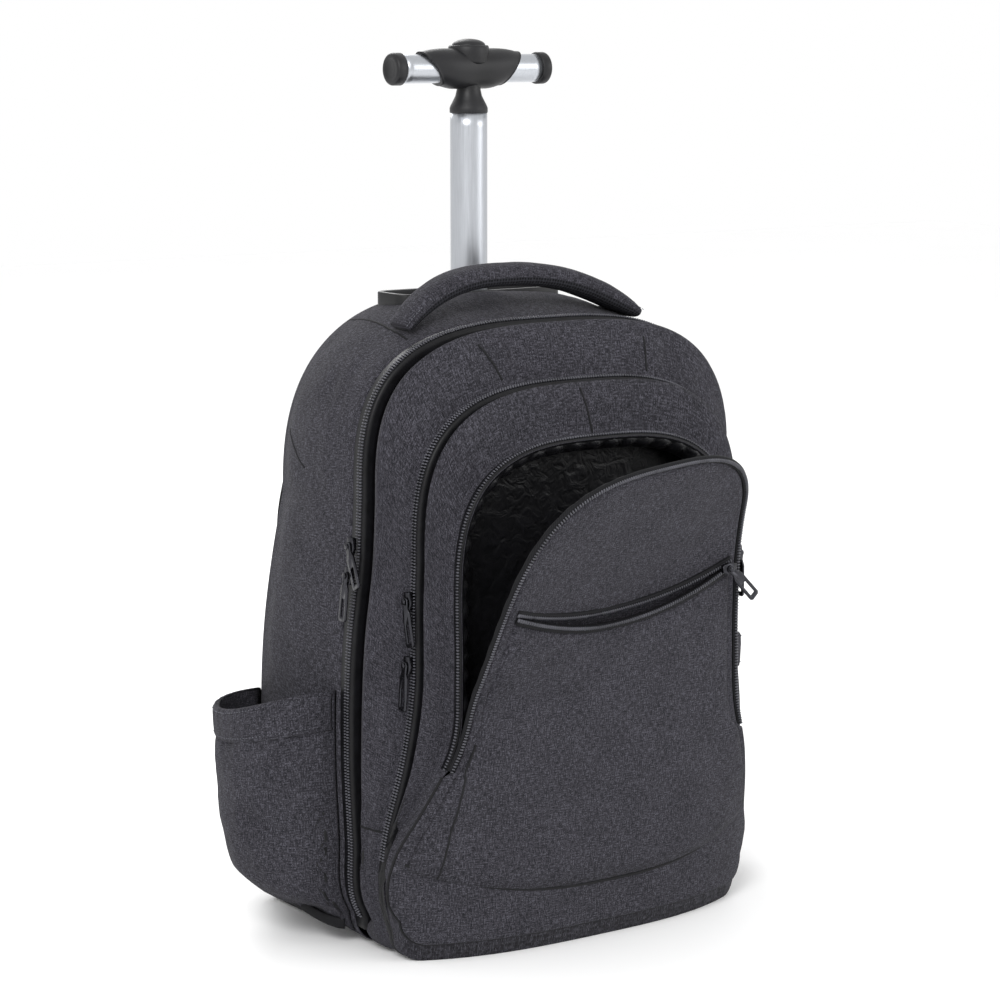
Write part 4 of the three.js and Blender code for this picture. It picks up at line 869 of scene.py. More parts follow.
def front_rows():
    start = stepped_start(ZIP_2, TOE, 13)
    rim = []
    for behind, inset in ((13, 0.3), (11, 0.8), (10.3, 2.2), (9.2, 3.2)):
        points = ring(TOE, behind)
        rim.append(drawn_in(points, inset * zip_mask(FRONT, points)))
    rows = start + wall_between(start[-1], rim[0], 2, 6, 0.8) + rim
    toe = [ring(section, behind, RIM_INSET * zip_mask(FRONT, ring(section)))
           for section, behind in ((TOE, 5), (FRONT, 2), (FRONT, 0))]
    return rows + toe


TUCK_THICK = (2.4, 1.6, 1.0, 0.8)
EASE_ROWS = 4


def padded_wall(name, rows, slack, pressure, cap, held_ends, seed, thick_mm=FABRIC, relief=1.0):
    """A compartment's wall: the rows simulated as fabric, with its lining behind."""
    grid = np.array(rows)
    pinned = np.zeros(grid.shape[:2], bool)
    pinned[:held_ends[0]] = pinned[-held_ends[1]:] = True
    pinned |= grid[:, :, 2] < 16
    # The cloth moves less and less towards its held edges, so that no fold forms along them
    order = np.arange(len(grid))
    from_ends = np.minimum(order - held_ends[0] + 1, len(grid) - held_ends[1] - order) / EASE_ROWS
    free = np.clip(from_ends, 0, 1)[:, None] * smooth(grid[:, :, 2], 16, 40)
    grid = grid + (settled(grid, pinned, True, slack, pressure, cap) - grid) * free[:, :, None]
    normals = grid_normals(grid, True)
    outward = np.sign(np.einsum("ijk,ijk->ij", normals, grid - grid.mean((0, 1)))).mean()
    dents = (wavering(grid, 46, seed) * 1.1 + wavering(grid, 19, seed + 3) * 0.45)[:, :, None] * relief
    grid = grid + normals * outward * dents * free[:, :, None]
    normals = grid_normals(grid, True) * outward
    thick = np.full(len(grid), thick_mm)
    thick[-len(TUCK_THICK):] = np.minimum(TUCK_THICK, thick_mm)
    inner = grid - normals * thick[:, None, None]
    # Where the foot turns sharply the lining would dip under the ground
    inner[:, :, 2] = inner[:, :, 2].clip(grid[:, :, 2].min())
    piece = slab(name, grid, inner, [finish("heather"), finish("lining")], True)
    return grid, piece


REAR_GRID = np.array(rear_rows())


def side_at(y, z):
    """Half width of the rear compartment's outside at a depth and a height."""
    y, z = np.broadcast_arrays(np.asarray(y, float), np.asarray(z, float))
    rows = REAR_GRID[4:]
    depths = rows[:, 0, 1]
    side = slice(STEPS["bottom"], CREST + 1)
    widths = np.array([np.interp(z.ravel(), row[side, 2], row[side, 0]) for row in rows])
    place = np.interp(-y.ravel(), -depths, np.arange(len(rows)))
    k = np.clip(place.astype(int), 0, len(rows) - 2)
    t = place - k
    column = np.arange(z.size)
    return ((1 - t) * widths[k, column] + t * widths[k + 1, column]).reshape(z.shape)


def top_at(y, x):
    """Height of the rear compartment's top at a depth and a distance from the middle."""
    x = np.asarray(x, float)
    rows = REAR_GRID[4:]
    k = int(np.argmin(np.abs(rows[:, 0, 1] - y)))
    side = slice(STEPS["bottom"] + STEPS["corner"] + STEPS["low"], CREST + 1)
    row = rows[k][side]
    return np.interp(-np.abs(x), -row[:, 0], row[:, 2])


def prism(profile, axis, low, high):
    """Points and faces of a flat profile carried along an axis from low to high."""
    profile = np.asarray(profile, float)
    count = len(profile)
    points = np.concatenate([np.insert(profile, axis, place, 1) for place in (low, high)])
    faces = [(k, (k + 1) % count, (k + 1) % count + count, k + count) for k in range(count)]
    return points, faces + [tuple(range(count))[::-1], tuple(range(count, 2 * count))]


def arc_points(centre, radius, start, end, steps):
    angle = np.radians(np.linspace(start, end, steps))
    return np.stack([centre[0] + radius * np.cos(angle), centre[1] + radius * np.sin(angle)], 1)


TRAY_HALF, TRAY_DEPTH, TRAY_CORNER = 76, 48, 14
TRAY_LOW, TRAY_TOP = 458, 483
BASE_FRONT, BASE_TOP = 14, 26
HOUSING_FRONT, HOUSING_TOP = 42, 64
# The block cut out for the base reaches past the bag below, behind and on both sides
CUT_LOW, CUT_BACK, CUT_HALF = -90, 220, 300


def build_compartments():
    rear_grid, rear = padded_wall("rear_compartment", rear_rows(), 0.012, 2.0, 3.0, (10, 5), 1)
    corner = TRAY_CORNER
    hole = []
    for sx, sy, start in ((1, -1, -90), (1, 1, 0), (-1, 1, 90), (-1, -1, 180)):
        centre = (sx * (TRAY_HALF - corner), POLE_Y + sy * (TRAY_DEPTH / 2 - corner))
        hole.append(arc_points(centre, corner + 0.5, start, start + 90, 8))
    cut_away(rear, *prism(np.concatenate(hole), 2, TRAY_LOW - 30, TRAY_TOP + 20))
    # Room for the base: its front step, and the housing behind it
    room = [(BASE_FRONT - GAP, CUT_LOW), (CUT_BACK, CUT_LOW), (CUT_BACK, HOUSING_TOP + GAP),
            (HOUSING_FRONT - GAP, HOUSING_TOP + GAP), (HOUSING_FRONT - GAP, BASE_TOP + GAP),
            (BASE_FRONT - GAP, BASE_TOP + GAP)]
    cut_away(rear, *prism(room, 0, -CUT_HALF, CUT_HALF))
    finished(rear, ROOT, "heather_fabric", "rear_shell")
    middle_grid, middle = padded_wall("middle_compartment", middle_rows(), 0.02, 2.5, 4.0, (6, 4), 5, 2.0)
    finished(middle, ROOT, "heather_fabric", "middle_shell")
    front_grid, front = padded_wall("front_compartment", front_rows(), 0.02, 2.0, 1.5, (6, 7), 9, 1.2, 0.35)
    finished(front, ROOT, "heather_fabric", "front_shell")
    # Back wall of the open compartment, seen through its mouth
    edge = ring(ZIP_2, -3, 7)
    wall = np.array([shrunk(edge, share, -3) for share in (1, 0.8, 0.6, 0.4, 0.2, 0.02)])
    wall = wall + np.array([0, 1, 0]) * (wavering(wall, 60, 4) * 2.5)[:, :, None]
    back = wall + np.array([0, 1.5, 0])
    flat = wall[:, :, [0, 2]]
    piece = slab("front_back_wall", wall, back, [finish("lining")], True, uv=flat, slots=(0, 0, 0))
    finished(piece, ROOT, "heather_fabric")
    return {"rear": rear_grid, "middle": middle_grid, "front": front_grid}


# Zips


def arch_run(section, foot, extra=0):
    """Ring indices along a zip, from its right foot over the top to its left foot."""
    z = outline(section)[:, 1]
    return np.flatnonzero(z > foot - GAP + extra)


def zip_band(name, section, profile, inner, node, low=0):
    """A zip's tape along a section's outline. The profile's rows are depth behind the section and
    distance drawn in."""
    run = arch_run(section, section.zip_foot - low)
    front = np.array([ring(section, dy, inset)[run] for dy, inset in profile])
    back = np.array([ring(section, dy, inset)[run] for dy, inset in inner])
    piece = slab(name, front, back, [finish("strip"), finish("tape")], slots=(0, 1, 0))
    return finished(piece, ROOT, "black_tape", node)


BAND = [(6.0, 2.9), (5.6, 1.5), (4.2, 0.7), (2.0, 0.3), (0, 0.2), (-2.0, 0.3), (-3.6, 0.8), (-4.6, 2.0),
        (-5.0, 4.0), (-5.1, 7.0), (-5.2, STRIP_WIDE + 1.0)]
BAND_BEHIND = [(4.9, 3.5), (4.6, 2.6), (3.6, 1.9), (1.8, 1.5), (0, 1.4), (-1.6, 1.5), (-2.8, 1.9),
               (-3.4, 3.0), (-3.8, 5.0), (-3.9, 7.6), (-4.0, STRIP_WIDE + 1.0)]
# The real teeth lie 1.5 mm apart; they are drawn 2.3 mm apart so that they show
COIL_PITCH = 2.3
COIL_SIZE = (1.5, 3.1, 2.2)
SINGLE_COIL = (1.5, 3.6, 2.2)
ZIP_END_RUN = 9
FLANGE_FROM = 4


def build_zips(settings):
    pitch = settings.tooth_pitch / MM
    for name, section, flange in (("zip_1", ZIP_1, FLANGE - TAPE_HALF + 1), ("zip_2", ZIP_2, 0)):
        bands = [[(dy + (flange if dy > FLANGE_FROM else 0), inset) for dy, inset in rows]
                 for rows in (BAND, BAND_BEHIND)]
        zip_band(name + "_tape", section, *bands, name, ZIP_END_RUN)
        run = arch_run(section, section.zip_foot, 2)
        lines = []
        for dy in (-1.75, 1.75):
            points = ring(section, dy, -0.5)
            lines.append((points[run], ring_normals(points)[run]))
        row_of(name + "_teeth", lines, pitch, COIL_SIZE, "coil", ROOT, "black_tape")


# Front flap

PANEL_THICK, PANEL_CROWN = 4.0, 6.0
CREASE_LEFT, CREASE_RIGHT = 168, 290
FLAP_LEAN, FLAP_BEND = math.radians(30), 60.0
PANEL_CENTRE = 190
FLAP_TAPE = 5.0
# The tape folded round the flap's edge, as distance drawn in and depth
FOLD_OUTSIDE = ((5.3, 0.4), (4.2, 0.0), (2.4, -0.3), (0.8, 0.0),
                (0.0, 0.9), (0.0, 2.6), (1.2, 3.6), (5.3, 4.2))
FOLD_INSIDE = ((5.3, 1.4), (4.2, 1.2), (2.8, 1.2), (1.8, 1.3),
               (1.4, 1.6), (1.4, 2.4), (2.0, 2.8), (5.3, 3.0))
CREASE_START = np.array([-half_at(FRONT, CREASE_LEFT), CREASE_LEFT])
CREASE_RUN = unit(np.array([half_at(FRONT, CREASE_RIGHT), CREASE_RIGHT]) - CREASE_START)
CREASE_UP = np.array([-CREASE_RUN[1], CREASE_RUN[0]])


def panel_point(x, z, depth):
    """Point of the front panel at a place in its flat outline and a depth behind its outer face."""
    x, z, depth = np.broadcast_arrays(*(np.asarray(v, float) for v in (x, z, depth)))
    from_start = np.stack([x, z], -1) - CREASE_START
    a = from_start @ CREASE_RUN
    height = from_start @ CREASE_UP
    start = -FLAP_BEND / 3
    radius = FLAP_BEND / FLAP_LEAN
    angle = np.clip((height - start) / radius, 0, FLAP_LEAN)
    straight = np.maximum(0, height - start - FLAP_BEND)
    along = np.where(height <= start, height, start + radius * np.sin(angle) + straight * np.cos(angle))
    out = radius * (1 - np.cos(angle)) + straight * np.sin(angle)
    flat = CREASE_START + a[..., None] * CREASE_RUN + (along + depth * np.sin(angle))[..., None] * CREASE_UP
    across_share = np.minimum(1, np.abs(x) / half_at(FRONT, np.clip(z, FRONT.foot, FRONT.top)).clip(1))
    up_share = np.clip((z - FRONT.foot) / (FRONT.top - FRONT.foot), 0, 1)
    crown = PANEL_CROWN * (1 - across_share**2) * 4 * up_share * (1 - up_share)
    y = FRONT.y - GAP - PANEL_THICK - crown + bow_at(FRONT, x, z) - out + depth * np.cos(angle)
    return np.stack([flat[..., 0], y, flat[..., 1]], -1)


def flat_outline(inset):
    flat = ring(FRONT)
    flat[:, 1] = 0
    return drawn_in(flat, inset)[:, [0, 2]]


def panel_edge():
    z = outline(FRONT)[:, 1]
    return (FLAP_TAPE + GAP) * smooth(z, FRONT.zip_foot - 6, FRONT.zip_foot + 2)


def panel_rows(edge, rows):
    """Rows of flat places and depths, as shares of the way from the middle to the edge."""
    flat = flat_outline(edge)
    centre = np.array([0, PANEL_CENTRE])
    return [(centre + (flat - centre) * share, depth) for share, depth in rows]


def panel_dents(flat):
    places = np.insert(flat, 1, 0, -1)
    return wavering(places, 70, 3) * 2.0 + wavering(places, 24, 8) * 0.6


def build_flap():
    edge = panel_edge()
    outer = [(s, 0.0) for s in np.linspace(0.02, 0.97, 44)] + [(0.985, 0.25), (0.995, 0.9), (1.0, 2.0)]
    inner = [(0.998, 3.2), (0.985, 3.9)] + [(s, 4.0) for s in np.linspace(0.96, 0.02, 26)]
    grid, flats = [], []
    for flat, depth in panel_rows(edge, outer + inner):
        dents = panel_dents(flat)
        fade = smooth(np.linalg.norm(flat - [0, PANEL_CENTRE], axis=1), 0, 1)
        edge_fade = 1.0 if depth in (0.0, 4.0) else 0.4
        grid.append(panel_point(flat[:, 0], flat[:, 1], depth + dents * fade * edge_fade * 0.8))
        flats.append(flat)
    grid = np.array(grid)
    uv = np.array(flats).reshape(-1, 2)[surface(grid, True)]
    rows = len(grid) - 1
    slots = np.where(np.arange(rows) < len(outer), 0, 1)
    piece = capped("front_flap", grid, [finish("heather"), finish("lining")], slots, uv)
    finished(piece, ROOT, "heather_fabric", "front_panel")
    # Tape and teeth along the flap's edge
    run = np.flatnonzero(outline(FRONT)[:, 1] > FRONT.zip_foot - GAP)
    outside, inside = [], []
    for rows, profile in ((outside, FOLD_OUTSIDE), (inside, FOLD_INSIDE)):
        for inset, depth in profile:
            flat = flat_outline(inset)[run]
            rows.append(panel_point(flat[:, 0], flat[:, 1], depth))
    piece = slab("flap_tape", np.array(outside), np.array(inside), [finish("tape")], slots=(0, 0, 0))
    finished(piece, ROOT, "black_tape", "zip_3_flap")
    flat = flat_outline(2.4)[run]
    line = panel_point(flat[:, 0], flat[:, 1], -0.5)
    out = unit(panel_point(flat[:, 0], flat[:, 1], -2.0) - line)
    row_of("flap_teeth", [(line, out)], COIL_PITCH, SINGLE_COIL, "coil", ROOT, "black_tape")
    # Tape and teeth round the compartment's rim
    band = [(9.6, 2.6), (8.4, 1.2), (5.6, 0.6), (3.0, 0.4), (1.2, 0.6), (0.2, 1.6), (0.2, 4.4)]
    behind = [(9.0, 3.8), (8.0, 2.4), (5.6, 1.8), (3.0, 1.6), (1.8, 1.9), (1.4, 2.6), (1.4, 4.4)]
    zip_band("rim_tape", FRONT, band, behind, "zip_3_body")
    points = ring(FRONT, 1.8, -0.2)
    lines = [(points[run], ring_normals(points)[run])]
    row_of("rim_teeth", lines, COIL_PITCH, SINGLE_COIL, "coil", ROOT, "black_tape")
    # Gathered lining inside the rim and along the flap's edge
    for name, place in (("rim_ruffle", rim_ruffle), ("flap_ruffle", flap_ruffle)):
        front, back = place(run)
        piece = slab(name, front, back, [finish("lining")], slots=(0, 0, 0))
        finished(piece, ROOT, "heather_fabric")


def gathers(length, seed, pitch):
    """Waves of a gathered edge, at distances along it."""
    places = np.stack([length / pitch, np.full(len(length), seed * 3.3), np.zeros(len(length))], 1)
    return np.sin(2 * math.pi * length / pitch + 3 * wavering(places, 2.5, seed))


def rim_ruffle(run):
    steps = np.linalg.norm(np.diff(ring(FRONT)[run], axis=0), axis=1)
    length = np.concatenate([[0], np.cumsum(steps)])
    wave = gathers(length, 2, 17)
    front, back = [], []
    for k, (dy, inset) in enumerate(((1.0, 2.4), (0.6, 5.0), (2.0, 8.0), (6.0, 11.0), (12.0, 12.5))):
        swing = wave * (0.2, 0.8, 1.8, 2.2, 0.8)[k]
        points = ring(FRONT, dy)
        shifted = drawn_in(points, inset)[run]
        shifted[:, 1] += swing
        front.append(shifted)
        back.append(shifted + np.array([0, 1.0, 0]))
    return np.array(front), np.array(back)


def flap_ruffle(run):
    flat0 = flat_outline(6.0)[run]
    length = np.concatenate([[0], np.cumsum(np.linalg.norm(np.diff(flat0, axis=0), axis=1))])
    wave = gathers(length, 5, 19)
    front, back = [], []
    for k, (inset, depth) in enumerate(((2.0, 4.4), (6.0, 5.6), (11.0, 6.4), (16.0, 4.6))):
        flat = flat_outline(inset)[run]
        swing = wave * (0.2, 1.0, 1.4, 0.2)[k]
        front.append(panel_point(flat[:, 0], flat[:, 1], depth + swing))
        back.append(panel_point(flat[:, 0], flat[:, 1], depth + swing - 1.0))
    return np.array(front), np.array(back)


# Slip pocket on the flap

SLIP_LIFT, SLIP_DROOP, SLIP_MARGIN, LINING = 1.5, 10.0, 8.0, 2.5


def slip_flat(u, v):
    seam = lerp(48, 72, np.abs(u) ** 2.5)
    mouth = lerp(253, 274, np.abs(u) ** 2)
    z = lerp(seam, mouth, v)
    half = half_at(FRONT, z) - SLIP_MARGIN - FLAP_TAPE * smooth(z, FRONT.zip_foot - 4, FRONT.zip_foot + 4)
    return u * half, z


def slip_lift(u, v):
    return SLIP_LIFT + SLIP_DROOP * (1 - u**2) * v**2


def build_slip_pocket():
    u, v = np.meshgrid(np.linspace(-1, 1, 61), np.linspace(0, 1, 45))
    x, z = slip_flat(u, v)
    lift = slip_lift(u, v) - 0.9
    face = panel_point(x, z, -lift - LINING)
    pinned = (np.abs(u) > 0.97) | (v < 0.03) | (v > 0.97)
    face = settled(face, pinned, False, 0.02, 2.0, 3.0)
    dents = wavering(face, 40, 6) * 1.2 + wavering(face, 16, 9) * 0.4
    face[:, :, 1] -= dents * np.minimum(1, 6 * (1 - np.abs(u))) * np.minimum(1, 6 * v)
    edge = smooth(np.minimum.reduce([1 - np.abs(u), 1.4 * v + 0.0, 1.4 * (1 - v) + 0.012]), 0, 0.03)
    back = panel_point(x, z, -(lift - 0.2))
    face = back + (face - back) * (0.25 + 0.75 * edge)[:, :, None]
    uv = np.stack([x, z], -1)
    piece = slab("slip_pocket_face", face, back, [finish("heather"), finish("lining")], uv=uv)
    finished(piece, ROOT, "heather_fabric", "slip_pocket")
    # Side seam, on the finished face, whose dark line is painted shade of the seam's groove
    rows = [k for k in range(len(face)) if 66 < z[k, 0] < 170]
    places = [lerp(-140, -124, (z[k, 0] - 66) / 96) for k in rows]
    path = np.array([[np.interp(place, x[k], face[k, :, axis]) for axis in range(3)]
                     for k, place in zip(rows, places)])
    seam("slip_side_seam", path, np.tile([0.0, -1, 0], (len(path), 1)), 0.9)
    across = np.linspace(-1, 1, 61)
    x, z = slip_flat(across, np.ones_like(across))
    low = slip_lift(across, 1.0)
    rows, behind = [], []
    for up, rise in ((-0.5, 3.2), (0.2, 3.5), (2.4, 3.7), (4.6, 3.3), (5.0, 2.6)):
        rows.append(panel_point(x, z + up, -(low - 0.9 + rise - 0.6)))
        behind.append(panel_point(x, z + up, -(low - 1.6)))
    piece = slab("slip_lower_tape", np.array(rows), np.array(behind), [finish("tape")], slots=(0, 0, 0))
    finished(piece, ROOT, "black_tape", "slip_zip_lower")
    line = panel_point(x, z + 4.2, -(low + 2.3))
    out = unit(panel_point(x, z + 4.2, -(low + 6.0)) - line)
    row_of("slip_lower_teeth", [(line, out)], COIL_PITCH, SINGLE_COIL, "coil", ROOT, "black_tape")
    rows, behind = [], []
    for up, rise in ((5.9, 1.0), (6.2, 1.7), (8.0, 2.2), (10.2, 2.0), (11.0, 0.8)):
        rows.append(panel_point(x, z + up, -rise))
        behind.append(panel_point(x, z + up, 0.3))
    piece = slab("slip_upper_tape", np.array(rows), np.array(behind), [finish("tape")], slots=(0, 0, 0))
    finished(piece, ROOT, "black_tape", "slip_zip_upper")
    line = panel_point(x, z + 7.4, -2.4)
    out = unit(panel_point(x, z + 7.4, -6.0) - line)
    row_of("slip_upper_teeth", [(line, out)], COIL_PITCH, SINGLE_COIL, "coil", ROOT, "black_tape")


# Side pockets

POCKET_FRONT = -45
POCKET_SWELL_FOOT, POCKET_SWELL_TOP = 43, 52
POCKET_SQUARE = 2.4


def pocket_point(u, v, lift):
    """Point of a side pocket's outside, on the right side of the bag."""
    along = (u + 1) / 2
    y = lerp(POCKET_FRONT, BACK.y - EDGE_ROUND / 2, along)
    rim = lerp(198, 176, along) - 8 * np.sin(math.pi * along)
    foot = lerp(10, 32, along)
    z = lerp(foot, rim, v)
    arc = (1 - np.abs(u) ** POCKET_SQUARE).clip(0) ** (1 / POCKET_SQUARE)
    rise = np.clip(v / 0.22, 0, 1)
    swell = lerp(POCKET_SWELL_FOOT, POCKET_SWELL_TOP, v) * np.sin(math.pi / 2 * rise) ** 0.7
    return np.stack([side_at(y, z) + swell * arc + lift, y, z], -1)


def pocket_across(count):
    u = np.linspace(-1, 1, count)
    return np.sign(u) * (1 - (1 - np.abs(u)) ** 1.6)


def build_side_pockets():
    for name, side in SIDES:
        mirror = np.array([side, 1, 1])
        u, v = np.meshgrid(pocket_across(73), np.linspace(0, 1, 49))
        face = pocket_point(u, v, 2.6)
        length = np.arange(73) * 3.4
        pinned = (np.abs(u) > 0.985) | (v < 0.02) | (v > 0.985)
        face = settled(face, pinned, False, 0.03, 2.5, 5.0)
        wave = gathers(length, 4, 15)
        away = np.minimum(1, 12 * (1 - np.abs(u)))
        gathered = wave[None, :] * (0.12 + 0.35 * v**3) * away
        crumple = wavering(face, 30, 11 + side) * 2.0 + wavering(face, 13, 14 + side) * 0.7
        face[:, :, 0] += (gathered * 1.0 + crumple * away * np.minimum(1, 5 * v)) * 0.8
        back = face - np.array([2.2, 0, 0])
        piece = slab("pocket_" + name, face * mirror, back * mirror, [finish("heather"), finish("lining")])
        node = "side_pocket_" + name
        finished(piece, ROOT, "heather_fabric", node)
        # Elastic hem, folded over the rim
        profile = [(0.84, 1.0), (0.845, 2.3), (0.87, 3.0), (0.92, 3.2), (0.97, 3.1), (0.995, 2.4),
                   (1.004, 0.6), (1.0, -1.6), (0.98, -2.9), (0.9, -3.2), (0.85, -3.1)]
        inner = [(0.85, 0.4), (0.855, 1.0), (0.87, 1.4), (0.92, 1.5), (0.965, 1.4), (0.982, 1.0),
                 (0.988, 0.2), (0.985, -0.6), (0.965, -1.3), (0.9, -1.6), (0.86, -1.6)]
        ruche = gathers(length, 6, 8) * 0.25

        def hem_wave(share):
            return (ruche * 0.8 + np.interp(share, [0.8, 1], [0.3, 1.0]) * gathered[-1]) * 0.8

        bands = []
        for rows in (profile, inner):
            band = []
            for share, rise in rows:
                points = pocket_point(pocket_across(73), np.full(73, share), 2.6)
                points[:, 0] += rise + hem_wave(share)
                band.append(points)
            bands.append(np.array(band) * mirror)
        piece = slab("pocket_hem_" + name, bands[0], bands[1], [finish("heather")], slots=(0, 0, 0))
        finished(piece, ROOT, "heather_fabric")
        lines = []
        for share in (0.862, 0.985):
            points = pocket_point(pocket_across(73), np.full(73, share), 2.6)
            rise = np.interp(share, [p[0] for p in profile[:6]], [p[1] for p in profile[:6]])
            points[:, 0] += rise + 0.2 + hem_wave(share)
            lines.append((points[2:-2] * mirror, np.tile([float(side), 0, 0], (69, 1))))
        row_of("pocket_hem_stitches_" + name, lines, 3.2, (2.3, 0.7, 0.6), "thread", ROOT, "heather_fabric")
        # Binding along the foot
        points = pocket_point(pocket_across(73), np.full(73, 0.035), 3.0)
        path = points[2:-2] * mirror
        along = tangents(path)
        up = np.tile([0.0, 0, 1.0], (len(path), 1))
        out = unit(np.cross(along, up)) * side
        grid = swept(path, up, out, oval(4.2, 1.4, 3.0, 12))
        piece = capped("pocket_binding_" + name, grid, [finish("tape")])
        finished(piece, ROOT, "heather_fabric")


# Grab handle and trolley

GRAB_Y, GRAB_HALF, GRAB_WIDTH, GRAB_THICK = -29, 108, 29, 18
GRAB_RISE, GRAB_SKEW = 35, 0.16


def grab_centre(u):
    leaning = u + GRAB_SKEW * (1 - u**2)
    lift = GRAB_RISE * (1 - np.abs(leaning) ** 2.6)
    low = top_at(GRAB_Y, GRAB_HALF * u * 0.98)
    middle = top_at(GRAB_Y, np.zeros(1))[0] + lift - GRAB_THICK / 2
    z = np.maximum(middle, low + GRAB_THICK * (0.5 - 0.22 * np.abs(u) ** 6) + GAP)
    return np.stack([GRAB_HALF * u, np.full_like(u, GRAB_Y), z], -1)


def build_grab_handle():
    u = np.linspace(-1, 1, 81)
    path = grab_centre(u)
    along = tangents(path)
    across = np.tile([0.0, 1, 0], (len(u), 1))
    up = unit(np.cross(along, across))
    up *= np.sign(up[:, 2:])
    count = 40
    squash = 1 - 0.5 * np.abs(u) ** 8
    profiles = np.array([
        oval(GRAB_WIDTH / 2 * (1 - 0.12 * abs(k) ** 4), GRAB_THICK / 2 * s, 2.8, count)
        for k, s in zip(u, squash)])
    grid = swept(path, across, up, profiles)
    wrinkle = wavering(grid, 22, 21) * 0.7 + wavering(grid, 8, 22) * 0.25
    middle = path[:, None]
    grid = middle + (grid - middle) * (1 + wrinkle[:, :, None] * 0.05)
    angle = 2 * math.pi * (np.arange(count) + 0.5) / count
    lower = np.sin(angle + math.pi / count) < -0.15
    slots = np.tile(np.where(lower, 1, 0), len(u) - 1)
    slots = slots.reshape(len(u) - 1, count)
    piece = capped("grab_handle_sleeve", grid, [finish("heather"), finish("mesh")], slots)
    finished(piece, ROOT, "heather_fabric", "grab_handle")
    lines = []
    for sy in (-1, 1):
        points = path + across * sy * (GRAB_WIDTH / 2 - 1.6) + up * 3.2
        lines.append((points, up))
    # Crossed stitches that hold the handle's ends
    for side in (-1, 1):
        for lean in (-1, 1):
            share = np.linspace(0, 1, 14)
            k = side * (0.86 + 0.1 * share)
            centre = grab_centre(k)
            top = GRAB_THICK / 2 * (1 - 0.5 * np.abs(k) ** 8)
            points = centre + np.array([0, 1.0, 0]) * (lean * (share - 0.5) * 18)[:, None]
            points[:, 2] += top * 0.98 + 0.2
            lines.append((points, np.tile([0.0, 0, 1], (14, 1))))
    row_of("grab_handle_stitches", lines, 3.0, (2.2, 0.7, 0.6), "thread", ROOT, "heather_fabric")


POLE_R, POLE_WALL, POLE_LOW, POLE_TOP = 14.5, 1.5, 221, 620
BAR_Z, BAR_R, BAR_WALL, BAR_HALF = 654, 11, 1.6, 63
CAP_R, CAP_LENGTH, CAP_ROUND = 12.5, 9, 2.6
GRIP_TOP_HALF, GRIP_LOW_HALF, GRIP_R, GRIP_END_R = 46, 27, 15.5, 13.2
BUTTON_R, BUTTON_DOME, BOSS_TOP = 13, 5, 672
WELL_ROOM, WELL_FLOOR = 0.15, 666


def standing(grid):
    """A turned grid moved to the pole's axis."""
    return grid + np.array([0, POLE_Y, 0])


def lying(grid):
    """A turned grid laid along the handle's bar."""
    return np.stack([grid[..., 2], grid[..., 0] + POLE_Y, grid[..., 1] + BAR_Z], -1)


